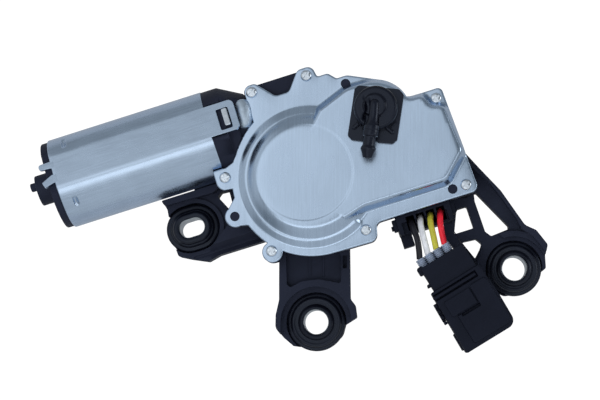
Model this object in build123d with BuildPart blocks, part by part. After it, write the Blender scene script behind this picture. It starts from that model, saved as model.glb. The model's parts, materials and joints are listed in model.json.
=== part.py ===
from build123d import *
import math
import os

# Rear wiper motor with a geared swinging output.
# Frame: the origin is on the output shaft's axis, in the plane of the three mounting faces.
# +X runs along the motor's axis from its end cap to the gearbox, +Z from the mounting plane to the cover,
# and the output shaft points to -Z. All sizes are in millimetres and degrees.

# ---------------------------------------------------------------- driving dimensions
# motor
MOTOR_Y = 14.8
MOTOR_Z = 21.3
CAN_R = 21.1
CAN_WALL = 1.6
CAN_LEFT = -149.2
CAN_RIGHT = -74.5
FLAT_TILT = 12.0
FLAT_DIST = 19.5
TONGUE_W = 15.0
TONGUE_END = -60.8
SHAFT_R = 3.0
CORE_R = 13.5
MAGNET_IN = 14.0
MAGNET_OUT = 17.6
COMMUTATOR_R = 8.0

# worm and worm wheel
WHEEL_X = -37.5
WHEEL_Y = -17.5
GEAR_MODULE = 1.0
WHEEL_TEETH = 54
WHEEL_PITCH_R = GEAR_MODULE * WHEEL_TEETH / 2
WORM_R = MOTOR_Y - WHEEL_Y - WHEEL_PITCH_R
WORM_LEAD = math.pi * GEAR_MODULE
WORM_TURNS = 6
WORM_LENGTH = WORM_TURNS * WORM_LEAD
WHEEL_WIDTH = 9.0
WHEEL_BOTTOM = MOTOR_Z - WHEEL_WIDTH / 2
WHEEL_TOP = MOTOR_Z + WHEEL_WIDTH / 2
AXLE_R = 4.0

# swinging linkage: crank pin, geared rod, rocker link, pinion
CRANK_R = 8.0
CRANK_PIN_R = 3.5
ROD_LENGTH = 46.0
ROCKER = 25.625
RACK_MODULE = 1.25
PINION_TEETH = 12
SECTOR_FULL_TEETH = 29
PINION_R = RACK_MODULE * PINION_TEETH / 2
SECTOR_R = RACK_MODULE * SECTOR_FULL_TEETH / 2
BASE = math.hypot(WHEEL_X, WHEEL_Y)
BASE_ANGLE = math.degrees(math.atan2(WHEEL_Y, WHEEL_X))
ROD_Z = WHEEL_TOP + 1.0
ROD_THICK = 3.3
PINION_Z = ROD_Z - 0.2
PINION_H = 4.4
LINK_Z = PINION_Z + PINION_H + 0.3
LINK_THICK = 2.0
PIVOT_R = 3.0
JOURNAL_R = 4.0
RUNNING_GAP = 0.05
TOP_GAP = 0.3

# output shaft and its neck
OUTPUT_R = 5.0
OUTPUT_END = -48.0
OUTPUT_BORE_R = 1.5
NECK_R = 9.0
NECK_END = -22.0
BUSH_R = 7.0

# housing and cover
HOUSING_Z = 8.0
FLANGE_Z = 34.0
SHEET = 1.2
FLANGE_TOP = FLANGE_Z + SHEET
TERRACE_TOP = 37.4
PLATEAU_TOP = 41.2
RING_X = -36.9
RING_Y = -18.6
FLANGE_R = 36.5
TERRACE_R = 33.2
DISC_FOOT_R = 29.0
DISC_TOP_R = 25.1
EMBOSS_R = 22.0
EMBOSS_X = -39.3
EMBOSS_Y = -16.5
EMBOSS_DEEP = 0.35
PLATEAU_INSET = 2.9
CAVITY_R = 29.4
SCREWS = [(-51.5, 26.5), (-25.3, 26.2), (28.0, -1.9), (28.9, -43.7), (-74.7, -7.3), (-64.4, -45.8), (-20.6, -49.6)]
PINS = [(-9.2, 17.3), (-75.7, -25.6), (22.6, -43.7)]
SCREW_R = 1.5
SCREW_HEAD_R = 2.6
SCREW_HEAD_H = 1.9
PIN_R = 2.15

# mounting arms, rubber grommets and steel sleeves
LEFT_EYE = (-97.6, -22.6)
LOWER_EYE = (-55.4, -82.0)
RIGHT_EYE = (39.7, -85.9)
ARM_Z = 3.0
ARM_FLOOR = 5.0
ARM_TOP = 17.0
ARM_WALL = 2.6
EYE_WALL_R = 15.0
EYE_HALF = 1.85
EYE_HOLE_R = 9.8
LEFT_HOLE_R = 8.0
LEFT_LIP_R = 10.7
LEFT_CUP_R = 11.2
LEFT_RING_R = 13.2
LEFT_RING_TOP = 14.0
LEFT_PLATE = 12.5
LOWER_LIP_R = 13.5
LOWER_CUP_R = 14.0
RIGHT_LIP_R = 12.7
RIGHT_CUP_R = 13.2
RECESS_R = 16.4
RECESS_Z = 11.0
POCKET_FLOOR = 12.5
UNDER_DEEP = 5.0
GROMMET_R = 12.4
SLEEVE_OUT = 7.2
SLEEVE_BORE = 5.6
SLEEVE_H = 15.0
SLOT_LONG = 11.8
SLOT_WIDE = 8.1

# washer inlet on the cover, over the output shaft
INLET_BASE_H = 2.2
CAP_R = 10.0
CAP_AT = (0.2, 0.9)
PIPE_SIDE = -1.7
CAP_H = 7.8
PIPE_R = 2.5
PIPE_HEADING = 247.0
PIPE_TIP = 22.5
SPIGOT_R = 2.2

# wiring
WIRE_R = 1.4
BLOCK_LEFT = -6.4
BLOCK_RIGHT = 19.4
BLOCK_BACK = -47.8
BLOCK_FRONT = -56.6
BLOCK_Z = 12.0
BLOCK_TOP = 31.5
PLUG_HEADING = 284.0
PLUG_Z = 33.0
PLUG_BACK = (8.2, -71.2)
PLUG_LENGTH = 43.4
PLUG_T = 13.0
WIRE_PITCH = 4.4
WIRE_CELLS = [0.2, 5.0, 9.8, 14.6]
WIRE_SEATS = [WIRE_PITCH * (k - 2) for k in range(4)]
CELL_W = 3.8
CELL_L = 6.2
CELL_Y = -52.2
CELL_FLOOR = 13.9
PORT_W = 20.4
PORT_H = 4.0
PORT_Z = 17.4
PORT_IN = -38.5
PIN_SIZE = 0.8
PIN_LENGTH = 11.8
PIN_Y = -43.0
BOARD_Z = 15.0
BOARD_T = 1.6
SEAL_R = 2.15
SEAL_OUT = 4.0
SEAL_IN = 6.0
MOUTH_W = 21.0
MOUTH_H = 8.0
MOUTH_DEEP = 14.0
TAB_W = 2.0
TAB_T = 0.8
TAB_OUT = 5.0
TAB_SPREAD = 1.0
TAB_SHIFT = 2.15
STRAP_X = -58.6
STRAP_Y = 19.6
STRAP_R = 3.4
STRAP_W = 11.6

# housing details
BOWL_INSET = 1.8
BOSS_R = 4.0
RIM_Z = 26.0
TUNNEL_WALL_Z = 12.0
TUNNEL_WALL_TOP = 31.0
TUNNEL_BORE_R = 7.0
TUNNEL_RIGHT = -14.5
TUNNEL_END = -17.0
NOSE_LEFT = -80.0
NOSE_TOP = 37.0
SPIGOT_OUT = CAN_R - CAN_WALL
CUP_DEEP = 8.5
TONGUE_UNDER = FLAT_DIST - CAN_WALL
NECK_ROOT_Z = 5.0
NECK_ROOT_R = 12.5
WHEEL_FLOOR = 14.8
ROD_FLOOR = 23.0
BOARD_FLOOR = 11.2
AXLE_SEAT_R = 8.0
POCKET_OUT = 30.0
POCKET_IN = 9.0
POCKET_DEEP = 2.4
UNDER_RIBS = 8
RIB_T = 2.4
SCREW_DEEP = 7.5
GASKET_IN = 0.7
GASKET_OUT = 2.0
GASKET_H = 0.8
EYE_SEAT = 7.0
GROMMET_LOW = 0.6
GROMMET_TOP = 15.8
LIP_TOP = 10.8
CREST_Z = 13.4
COLLAR_R = 8.6
OPEN_GAP = 0.3

# motor details
CAP_RIM = 3.4
CAP_SPIGOT = 5.0
CAP_BOSS_R = 7.2
CAP_BOSS_END = -160.4
BEARING_R = 5.5
REAR_BEARING_X = -158.4
FRONT_BEARING_X = -71.0
WORM_BEARING_X = -25.0
SHAFT_START = -158.3
SHAFT_END = -19.0
COMMUTATOR_X = -96.0
COMMUTATOR_L = 12.0
MAGNET_X = -141.0
MAGNET_L = 42.0
CORE_X = -137.0
CORE_L = 34.0
CORE_SLOTS = 8
WINDING_L = 5.5
BRUSH_PLATE_X = -88.0
WORM_ROOT = 1.15
THREAD_HALF_TIP = 0.12 * WORM_LEAD - 0.04
THREAD_HALF_ROOT = 0.38 * WORM_LEAD
WORM_START = WHEEL_X - WORM_LENGTH / 2 + WORM_LEAD / 4
GEAR_SLACK = 0.05
WHEEL_WEB_IN = 2.6
WHEEL_RIM_R = 22.6
WHEEL_HUB_R = 13.6
MAGNET_POST_R = 3.6
PARK_MAGNET_R = 2.5
SECTOR_TEETH = 6
ROD_BOSS_R = 6.0
ROD_EYE_R = 6.2
LINK_END_R = 6.6
TAPER_LOW = -38.0
TAPER_HIGH = -31.5
RING_GROOVE_Z = NECK_END - 1.4
RETAINER_H = 1.2
SHAFT_TOP = 36.4
SEAL_BORE_R = 3.1
SEAL_BORE_DEEP = 6.0
SPIGOT_END = 31.4
NECK_SEAL_Z = 0.0
NECK_SEAL_R = 12.5
NECK_COLLAR_R = 9.5

os.makedirs("parts", exist_ok=True)


def save(builder, name):
    """Label a finished piece and write it to its own STEP file."""
    builder.part.label = name
    export_step(builder.part, f"parts/{name}.step")


def outline(*corners):
    """A closed outline through (x, y, corner radius) points."""
    with BuildSketch(mode=Mode.PRIVATE) as shape:
        with BuildLine():
            FilletPolyline([(x, y) for x, y, r in corners], radius=[r for x, y, r in corners], close=True)
        make_face()
    return shape.sketch


def along(angle, distance, start=(0.0, 0.0)):
    """The point at a distance from start, in the direction of an angle in degrees."""
    turn = math.radians(angle)
    return (start[0] + distance * math.cos(turn), start[1] + distance * math.sin(turn))


def motor_plane(x):
    """A plane across the motor's axis: its X is +Y, its Y is +Z and its normal is +X."""
    return Plane(origin=(x, MOTOR_Y, MOTOR_Z), x_dir=(0, 1, 0), z_dir=(1, 0, 0))


def flat_plane(distance):
    """A plane parallel to the can's flat, at a distance from the motor's axis; its X is +X."""
    tilt = math.radians(FLAT_TILT)
    normal = Vector(0, math.sin(tilt), math.cos(tilt))
    return Plane(origin=Vector(0, MOTOR_Y, MOTOR_Z) + normal * distance, x_dir=(1, 0, 0), z_dir=normal)


def flat_round(radius, flat):
    """A circle with one flat, as the can's section has, in a motor_plane."""
    with BuildSketch(mode=Mode.PRIVATE) as shape:
        Circle(radius)
        with Locations(Location((0, 0, 0), (0, 0, -FLAT_TILT))):
            with Locations((0, flat + radius)):
                Rectangle(3 * radius, 2 * radius, mode=Mode.SUBTRACT)
    return shape.sketch


def gear_outline(teeth, module, clearance, first=0, last=None):
    """Straight-sided gear teeth round the origin; tooth 0 points along +X."""
    last = teeth if last is None else last
    pitch = 360 / teeth
    tip = module * (teeth / 2 + 0.9)
    root = module * (teeth / 2 - 1.15)
    half_tip = pitch * 0.12
    half_root = pitch * 0.38
    slack = math.degrees(clearance / (module * teeth / 2))
    points = []
    for tooth in range(first, last):
        middle = tooth * pitch
        points.append(along(middle - half_root + slack, root))
        points.append(along(middle - half_tip + slack, tip))
        points.append(along(middle + half_tip - slack, tip))
        points.append(along(middle + half_root - slack, root))
    return points


# ---------------------------------------------------------------- linkage geometry
def rocker_angle(reach):
    """Direction of the sector pivot from the output axis when it is a reach from the wheel's centre."""
    cosine = (ROCKER**2 + BASE**2 - reach**2) / (2 * ROCKER * BASE)
    return BASE_ANGLE + math.degrees(math.acos(cosine))


SWING_START = rocker_angle(ROD_LENGTH - CRANK_R)
SWING_END = rocker_angle(ROD_LENGTH + CRANK_R)
PIVOT = along(SWING_START, ROCKER)
PIVOT_END = along(SWING_END, ROCKER)
ROD_START = math.degrees(math.atan2(PIVOT[1] - WHEEL_Y, PIVOT[0] - WHEEL_X))
ROD_END = math.degrees(math.atan2(PIVOT_END[1] - WHEEL_Y, PIVOT_END[0] - WHEEL_X))
EYE = along(ROD_START + 180, ROD_LENGTH, PIVOT)
LINK_SWING = SWING_END - SWING_START
ROD_SWING = (ROD_END - ROD_START) - LINK_SWING
OUTPUT_SWING = LINK_SWING - ROD_SWING * SECTOR_FULL_TEETH / PINION_TEETH
print(f"linkage: output {OUTPUT_SWING:.3f}, rocker {LINK_SWING:.3f}, rod on rocker {ROD_SWING:.3f} degrees")
print(f"linkage: sector pivot {PIVOT[0]:.4f}, {PIVOT[1]:.4f}; crank pin {EYE[0]:.4f}, {EYE[1]:.4f}")

# ---------------------------------------------------------------- shared outlines
with BuildSketch() as flange:
    with Locations((RING_X, RING_Y)):
        Circle(FLANGE_R)
    Circle(15.6)
    add(outline(
        (-54.8, -5, 0), (-54.8, 30.1, 3.4), (-48.9, 30.1, 2.6), (-41.4, 21.7, 3), (-35.0, 21.7, 3),
        (-28.4, 30.1, 3.4), (-21.6, 30.1, 3.4), (-20.6, 24.4, 1.2), (-15.6, 24.4, 2.5), (-12.4, 20.9, 1.5),
        (-7.5, 20.9, 5), (7.0, 13.9, 0), (12.0, 2.6, 0), (31.9, 2.6, 2.4), (33.9, -47.8, 3.2),
        (-15.0, -47.8, 3), (-16.8, -55.6, 4), (-36.9, -55.1, 0), (-36.9, -20, 0)))
    add(outline((-79.3, -2.9, 1), (-79.3, -12.4, 4), (-71, -13.4, 0), (-62, -8, 0), (-68, -1, 0), (-73, -2.9, 1.5)))
    add(outline((-72, -16, 0), (-77.5, -21.4, 1), (-79, -29.4, 3), (-71.5, -31, 2), (-66, -36, 0), (-62, -18, 0)))
    with Locations((-75.6, -25.8), (-64.2, -46.3)):
        Circle(4.7)

with BuildSketch() as plateau:
    add(outline(
        (-34, 0, 0), (-24.8, 9.6, 3), (-9.5, 15.2, 12), (5.5, 14.5, 19), (13.8, 7.0, 6), (16.5, 1.9, 3),
        (22.8, 1.6, 4), (25.2, -4.4, 3), (30.9, -6.2, 4.5), (33.0, -29.0, 5), (21.5, -40.4, 6),
        (-18, -40.4, 8), (-29, -43.4, 0), (-34, -36, 0)))

with BuildSketch() as cavity:
    with Locations((WHEEL_X, WHEEL_Y)):
        Circle(CAVITY_R)
    add(outline(
        (-30, 0, 0), (-22, 7.2, 2), (-8.5, 12.6, 6), (5.0, 12.0, 14), (12.4, 5.4, 4), (15.2, -0.2, 2.5),
        (21.8, -0.6, 2.5), (24.0, -6.4, 2), (29.4, -8.0, 2.5), (30.9, -28.2, 3), (20.6, -38.6, 3),
        (-30, -39, 0)))

# ---------------------------------------------------------------- cover
def coned(centre, levels):
    """A stack of cone slices through (radius, height) levels."""
    with BuildPart() as stack:
        for (wide, low), (narrow, high) in zip(levels, levels[1:]):
            with BuildSketch(Plane.XY.offset(low)):
                with Locations(centre):
                    Circle(wide)
            with BuildSketch(Plane.XY.offset(high)):
                with Locations(centre):
                    Circle(narrow)
            loft(ruled=True)
    return stack.part


TERRACE_LEVELS = [(TERRACE_R, FLANGE_TOP), (TERRACE_R - 0.45, FLANGE_TOP + 1.05), (TERRACE_R - 3.9, TERRACE_TOP)]
DISC_LEVELS = [(DISC_FOOT_R, TERRACE_TOP - 0.6), (DISC_FOOT_R - 0.5, TERRACE_TOP + 0.8), (DISC_TOP_R, PLATEAU_TOP)]
with BuildPart() as cover:
    with BuildSketch(Plane.XY.offset(FLANGE_Z)):
        add(flange.sketch)
    extrude(amount=SHEET)
    add(coned((RING_X, RING_Y), TERRACE_LEVELS))
    add(coned((WHEEL_X, WHEEL_Y), DISC_LEVELS))
    with BuildSketch(Plane.XY.offset(FLANGE_TOP)):
        add(plateau.sketch)
    with BuildSketch(Plane.XY.offset(PLATEAU_TOP)):
        add(plateau.sketch)
        offset(amount=-PLATEAU_INSET)
    loft(ruled=True)
    # the hollow under the stamping
    add(coned((RING_X, RING_Y), [(r - SHEET, z - SHEET) for r, z in TERRACE_LEVELS]), mode=Mode.SUBTRACT)
    add(coned((WHEEL_X, WHEEL_Y), [(r - SHEET, z - SHEET) for r, z in DISC_LEVELS]), mode=Mode.SUBTRACT)
    with BuildSketch(Plane.XY.offset(FLANGE_Z)):
        add(plateau.sketch)
        offset(amount=-SHEET)
    with BuildSketch(Plane.XY.offset(PLATEAU_TOP - SHEET)):
        add(plateau.sketch)
        offset(amount=-PLATEAU_INSET - SHEET / 2)
    loft(ruled=True, mode=Mode.SUBTRACT)
    # shallow round step on the plateau
    with BuildSketch(Plane.XY.offset(PLATEAU_TOP)):
        with Locations((EMBOSS_X, EMBOSS_Y)):
            Circle(EMBOSS_R)
    extrude(amount=-EMBOSS_DEEP, mode=Mode.SUBTRACT)
    with BuildSketch(Plane.XY.offset(FLANGE_Z)):
        with Locations(*SCREWS):
            Circle(SCREW_R)
        with Locations(*PINS):
            Circle(PIN_R + 0.1)
        Circle(SPIGOT_R + 0.3)
    extrude(amount=PLATEAU_TOP - FLANGE_Z, mode=Mode.SUBTRACT)
    with BuildSketch(Plane.XY.offset(FLANGE_TOP)):
        with Locations(*SCREWS):
            Circle(SCREW_HEAD_R + 0.2)
    extrude(amount=TERRACE_TOP - FLANGE_TOP, mode=Mode.SUBTRACT)
save(cover, "cover")
print("cover", cover.part.is_valid, cover.part.volume)

# ---------------------------------------------------------------- gear housing
with BuildSketch() as bowl:
    with Locations((RING_X, RING_Y)):
        Circle(FLANGE_R - BOWL_INSET)
    Circle(13.6)
    add(outline(
        (-40, 10, 0), (-12, 18.8, 2), (6.5, 12.0, 6), (14.5, 1.0, 3), (31.0, 1.0, 2.4), (32.5, -46.4, 3),
        (-14, -46.4, 3), (-36, -50, 0)))
    with Locations(*SCREWS):
        Circle(BOSS_R)

BOARD_CHAMBER = outline(
    (-4, -38.5, 2), (-4, -12, 2), (12, -12, 2), (12, -3, 2), (23.4, -6.4, 2), (29.4, -8, 2), (30.9, -28.2, 3),
    (20.6, -38.5, 3))

with BuildPart() as gear_housing:
    with BuildSketch(Plane.XY.offset(HOUSING_Z)):
        add(bowl.sketch)
    extrude(amount=RIM_Z - HOUSING_Z)
    with BuildSketch(Plane.XY.offset(RIM_Z)):
        add(flange.sketch)
    extrude(amount=FLANGE_Z - RIM_Z)
    # wall beside the worm tunnel, between two cover lugs
    with BuildSketch(Plane.XY.offset(TUNNEL_WALL_Z)):
        add(outline((-55, 6, 0), (-55, 29.8, 2), (-24, 29.8, 2), (-24, 6, 0)))
    extrude(amount=TUNNEL_WALL_TOP - TUNNEL_WALL_Z)
    # worm tunnel and the nose that carries the motor can
    with BuildSketch(Plane(origin=(0, MOTOR_Y, MOTOR_Z), x_dir=(1, 0, 0), z_dir=(0, -1, 0))):
        Polygon(
            (NOSE_LEFT, 0), (NOSE_LEFT, SPIGOT_OUT), (CAN_RIGHT, SPIGOT_OUT), (CAN_RIGHT, CAN_R - 0.3),
            (-67, CAN_R - 0.3), (-56, 14.5), (-52, 9.8), (TUNNEL_RIGHT, 9.8), (TUNNEL_RIGHT, 0), align=None)
    revolve(axis=Axis((0, MOTOR_Y, MOTOR_Z), (1, 0, 0)))
    with Locations((-38, MOTOR_Y, FLANGE_Z + 10)):
        Box(48, 60, 20, mode=Mode.SUBTRACT)
    with BuildSketch(Plane.XY.offset(FLANGE_Z)):
        add(flange.sketch)
    extrude(amount=20, mode=Mode.SUBTRACT)
    with Locations((-64.5, MOTOR_Y, NOSE_TOP + 10)):
        Box(5, 60, 20, mode=Mode.SUBTRACT)
    # neck for the output shaft
    with BuildSketch(Plane.XY.offset(NECK_END)):
        Circle(NECK_R)
    extrude(amount=HOUSING_Z - NECK_END)
    with BuildSketch():
        Circle(NECK_COLLAR_R)
    extrude(amount=HOUSING_Z)
    with BuildSketch(Plane.XY.offset(NECK_ROOT_Z)):
        Circle(NECK_ROOT_R)
    extrude(amount=HOUSING_Z - NECK_ROOT_Z)
    # worm wheel chamber and linkage chamber
    with BuildSketch(Plane.XY.offset(WHEEL_FLOOR)):
        with Locations((WHEEL_X, WHEEL_Y)):
            Circle(CAVITY_R)
    extrude(amount=FLANGE_Z - WHEEL_FLOOR, mode=Mode.SUBTRACT)
    with BuildSketch(Plane.XY.offset(ROD_FLOOR)):
        add(cavity.sketch)
    extrude(amount=FLANGE_Z - ROD_FLOOR, mode=Mode.SUBTRACT)
    with BuildSketch(Plane.XY.offset(BOARD_FLOOR)):
        add(BOARD_CHAMBER)
    extrude(amount=FLANGE_Z - BOARD_FLOOR, mode=Mode.SUBTRACT)
    # posts under the board and the port for the terminal socket
    with BuildSketch(Plane.XY.offset(BOARD_FLOOR)):
        with Locations((0.5, -34), (20, -32), (8, -17), (24, -12)):
            Circle(2.5)
    extrude(amount=BOARD_Z - BOARD_FLOOR)
    with Locations(((BLOCK_LEFT + BLOCK_RIGHT) / 2, (BLOCK_BACK + PORT_IN) / 2, PORT_Z)):
        Box(PORT_W, PORT_IN - BLOCK_BACK, PORT_H, mode=Mode.SUBTRACT)
    # raised seat for the wheel's axle
    with BuildSketch(Plane.XY.offset(WHEEL_FLOOR)):
        with Locations((WHEEL_X, WHEEL_Y)):
            Circle(AXLE_SEAT_R)
    extrude(amount=WHEEL_BOTTOM - TOP_GAP - WHEEL_FLOOR)
    with BuildSketch(Plane.XY.offset(HOUSING_Z + 2)):
        with Locations((WHEEL_X, WHEEL_Y)):
            Circle(AXLE_R)
    extrude(amount=FLANGE_Z - HOUSING_Z, mode=Mode.SUBTRACT)
    # bore of the neck, worm tunnel bore, cup for the brush gear
    with BuildSketch(Plane.XY.offset(NECK_END)):
        Circle(BUSH_R)
    extrude(amount=FLANGE_Z - NECK_END, mode=Mode.SUBTRACT)
    with BuildSketch(motor_plane(NOSE_LEFT)):
        Circle(TUNNEL_BORE_R)
    extrude(amount=TUNNEL_END - NOSE_LEFT, mode=Mode.SUBTRACT)
    with BuildSketch(motor_plane(NOSE_LEFT)):
        Circle(SPIGOT_OUT - 2)
    extrude(amount=CUP_DEEP, mode=Mode.SUBTRACT)
    # slot for the can's tongue
    with BuildSketch(flat_plane(TONGUE_UNDER - 0.2)):
        with Locations(((CAN_RIGHT + TONGUE_END) / 2, 0)):
            Rectangle(TONGUE_END - CAN_RIGHT + 14, TONGUE_W + 1.0)
    extrude(amount=8, mode=Mode.SUBTRACT)
    # flat along the spigot, under the can's flat
    with BuildSketch(flat_plane(FLAT_DIST - CAN_WALL)):
        with Locations((CAN_RIGHT - 3.5, 0)):
            Rectangle(7, 2 * CAN_R)
    extrude(amount=8, mode=Mode.SUBTRACT)
    # room for the can's wall round the spigot
    with BuildSketch(motor_plane(CAN_RIGHT)):
        Circle(CAN_R + 0.3)
        Circle(SPIGOT_OUT, mode=Mode.SUBTRACT)
    extrude(amount=-12, mode=Mode.SUBTRACT)
    # pockets between the ribs of the underside
    with BuildSketch(Plane.XY.offset(HOUSING_Z)):
        with Locations((WHEEL_X, WHEEL_Y)):
            Circle(POCKET_OUT)
            Circle(POCKET_IN, mode=Mode.SUBTRACT)
            with PolarLocations(0, UNDER_RIBS // 2, angular_range=180):
                Rectangle(2 * POCKET_OUT, RIB_T, mode=Mode.SUBTRACT)
    extrude(amount=POCKET_DEEP, mode=Mode.SUBTRACT)
    # cover screw holes and the pins that pass through the cover
    with BuildSketch(Plane.XY.offset(FLANGE_Z)):
        with Locations(*SCREWS):
            Circle(SCREW_R)
    extrude(amount=-SCREW_DEEP, mode=Mode.SUBTRACT)
    with BuildSketch(Plane.XY.offset(FLANGE_Z)):
        with Locations(*PINS):
            Circle(PIN_R)
    extrude(amount=SHEET - 0.2)
    # groove for the gasket
    with BuildSketch(Plane.XY.offset(FLANGE_Z)):
        add(cavity.sketch)
        offset(amount=GASKET_OUT)
        offset(cavity.sketch, amount=GASKET_IN, mode=Mode.SUBTRACT)
    extrude(amount=-GASKET_H, mode=Mode.SUBTRACT)
save(gear_housing, "gear_housing")
print("housing", gear_housing.part.is_valid, gear_housing.part.volume, len(gear_housing.part.solids()))

with BuildPart() as cover_gasket:
    with BuildSketch(Plane.XY.offset(FLANGE_Z)):
        add(cavity.sketch)
        offset(amount=GASKET_OUT)
        offset(cavity.sketch, amount=GASKET_IN, mode=Mode.SUBTRACT)
    extrude(amount=-GASKET_H)
save(cover_gasket, "cover_gasket")

with BuildPart() as cover_screws:
    with BuildSketch(Plane.XY.offset(FLANGE_TOP)):
        with Locations(*SCREWS):
            Circle(SCREW_HEAD_R)
    extrude(amount=SCREW_HEAD_H)
    with BuildSketch(Plane.XY.offset(FLANGE_TOP)):
        with Locations(*SCREWS):
            Circle(SCREW_R)
    extrude(amount=-SCREW_DEEP)
save(cover_screws, "cover_screws")


# ---------------------------------------------------------------- mounting arms
def ring_at(eye, radius, half=0.0):
    """A circle round an eye, or a slot along X when the eye is long."""
    with BuildSketch(mode=Mode.PRIVATE) as shape:
        with Locations(eye):
            if half > 0:
                SlotOverall(2 * (half + radius), 2 * radius)
            else:
                Circle(radius)
    return shape.sketch


def arm_block(low, high, *shapes):
    """A closed prism between two heights."""
    with BuildPart() as block:
        with BuildSketch(Plane.XY.offset(low)):
            for shape in shapes:
                add(shape)
        extrude(amount=high - low)
    return block.part


def clear_of_housing(eye, cup, half=0.0, hole=EYE_HOLE_R):
    """What every arm leaves free: the bowl, the terminal socket, the grommet's hole and its cup."""
    with BuildPart() as free:
        with BuildSketch(Plane.XY.offset(HOUSING_Z)):
            add(bowl.sketch)
        extrude(amount=ARM_TOP + 6 - HOUSING_Z)
        with Locations(((BLOCK_LEFT + BLOCK_RIGHT) / 2, (BLOCK_FRONT + BLOCK_BACK) / 2, BLOCK_Z + 5)):
            Box(BLOCK_RIGHT - BLOCK_LEFT + 6.0, BLOCK_BACK - BLOCK_FRONT + 2.8, 10)
        with BuildSketch(Plane.XY.offset(ARM_Z)):
            add(ring_at(eye, hole, half))
        extrude(amount=ARM_TOP - ARM_Z)
        with BuildSketch(Plane.XY.offset(EYE_SEAT)):
            add(ring_at(eye, cup, half))
        extrude(amount=ARM_TOP - EYE_SEAT)
    return free.part


LEFT_ARM = outline(
    (-107.4, -6.6, 0.6), (-106.4, -10.7, 1), (-107.0, -15.9, 1), (-108.7, -19.6, 2), (-109.0, -26.5, 2),
    (-108.0, -30.3, 0.8), (-107.8, -33.3, 1.5), (-102.6, -36.2, 2), (-95.0, -39.8, 1.5), (-89.1, -38.5, 1),
    (-66.0, -38.6, 1), (-58.0, -28.0, 0), (-62.0, -12.0, 0), (-73.5, -8.0, 1), (-79.0, -6.6, 2))
LEFT_BAR = outline((-107.4, -6.6, 0.6), (-106.5, -9.2, 0.4), (-83.0, -10.2, 2), (-79.0, -8.4, 0.5), (-79.0, -6.6, 0.5))
LEFT_WINDOW = outline((-82.0, -12.1, 0.8), (-79.9, -10.5, 1), (-76.0, -10.8, 0.6), (-76.3, -17.2, 0.6),
                      (-78.4, -19.6, 0.6))
LEFT_BODY = outline((-93.2, -39.2, 0.5), (-92.9, -35.1, 1), (-88.9, -32.2, 2), (-84.1, -28.6, 2), (-77.0, -24.0, 1),
                    (-70.0, -20.0, 0), (-62.0, -30.0, 0), (-66.0, -38.6, 0.5), (-89.1, -38.5, 1))
LEFT_RING_CUT = outline((-118, 0, 0), (-118, -44, 0), (-92, -44, 0), (-90.5, -32, 0), (-98, -8.0, 0), (-98, 0, 0))
LOWER_ARM = outline(
    (-62.5, -40.0, 0), (-63.4, -50.3, 0.5), (-68.7, -67.1, 3), (-72.3, -73.3, 3), (-74.2, -79.0, 4),
    (-72.1, -84.3, 2), (-68.9, -89.4, 1), (-66.4, -90.6, 1), (-63.4, -91.6, 1), (-60.6, -93.6, 4), (-53.6, -95.0, 7),
    (-45.6, -92.0, 6), (-42.6, -87.2, 0.5), (-36.6, -85.6, 1), (-35.6, -80.0, 3), (-37.0, -76.5, 3), (-30.2, -54.0, 0.5),
    (-34.0, -38.0, 0))
LOWER_POCKET = outline(
    (-56.0, -40.0, 0), (-59.6, -48.9, 1), (-63.1, -61.4, 1), (-61.9, -63.2, 1), (-56.4, -62.0, 4), (-48.5, -63.3, 6),
    (-42.7, -66.4, 2), (-39.0, -68.3, 1), (-35.1, -56.8, 1), (-37.0, -40.0, 0))
LOWER_NOTCH = outline((-34.3, -56.3, 0.4), (-32.4, -56.9, 0.4), (-34.2, -62.5, 0.4), (-36.1, -61.9, 0.4))
RIGHT_ARM = outline(
    (28.5, -16.0, 0), (33.4, -26.0, 3), (38.6, -37.2, 6), (44.6, -49.6, 9), (50.4, -68.3, 5), (54.6, -72.0, 3),
    (57.6, -80.0, 2), (55.4, -84.2, 0.6), (53.9, -90.0, 1), (50.4, -91.6, 0.6), (49.6, -93.0, 1), (45.6, -96.6, 3),
    (39.5, -98.0, 5), (31.6, -96.6, 3), (27.2, -92.0, 3), (22.6, -84.0, 4), (17.6, -72.0, 3), (13.2, -61.4, 2),
    (19.6, -45.0, 0), (21.0, -28.0, 0))
RIGHT_RIM = outline(
    (28.5, -16.0, 0), (33.4, -26.0, 3), (38.6, -37.2, 6), (44.6, -49.6, 9), (50.4, -68.3, 5), (54.6, -72.0, 3),
    (57.6, -80.0, 2), (55.5, -83.8, 0.6), (54.5, -80.0, 1), (52.2, -74.0, 3), (48.2, -68.9, 1), (47.6, -64.7, 1),
    (43.8, -52.9, 4), (40.8, -45.0, 2), (34.0, -33.5, 0))
RIGHT_CREST = outline((28, -64, 0), (60, -64, 0), (60, -86, 0), (44, -78, 0), (36, -66, 0), (30, -70, 0), (24, -80, 0),
                      (20, -90, 0), (10, -80, 0), (20, -64, 0))
RIGHT_WINDOWS = [
    outline((33.0, -45.2, 0.8), (43.3, -66.0, 0.8), (43.0, -67.5, 0.6), (34.3, -68.2, 1), (32.3, -65.4, 1),
            (32.0, -50.5, 2)),
    outline((22.8, -51.5, 0.8), (27.7, -51.5, 0.8), (27.8, -62.2, 1), (18.2, -62.2, 0.6)),
    outline((20.4, -66.8, 0.6), (27.2, -67.4, 1), (29.0, -70.3, 1), (27.6, -72.3, 0.6), (24.0, -76.0, 0.4)),
]

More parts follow.
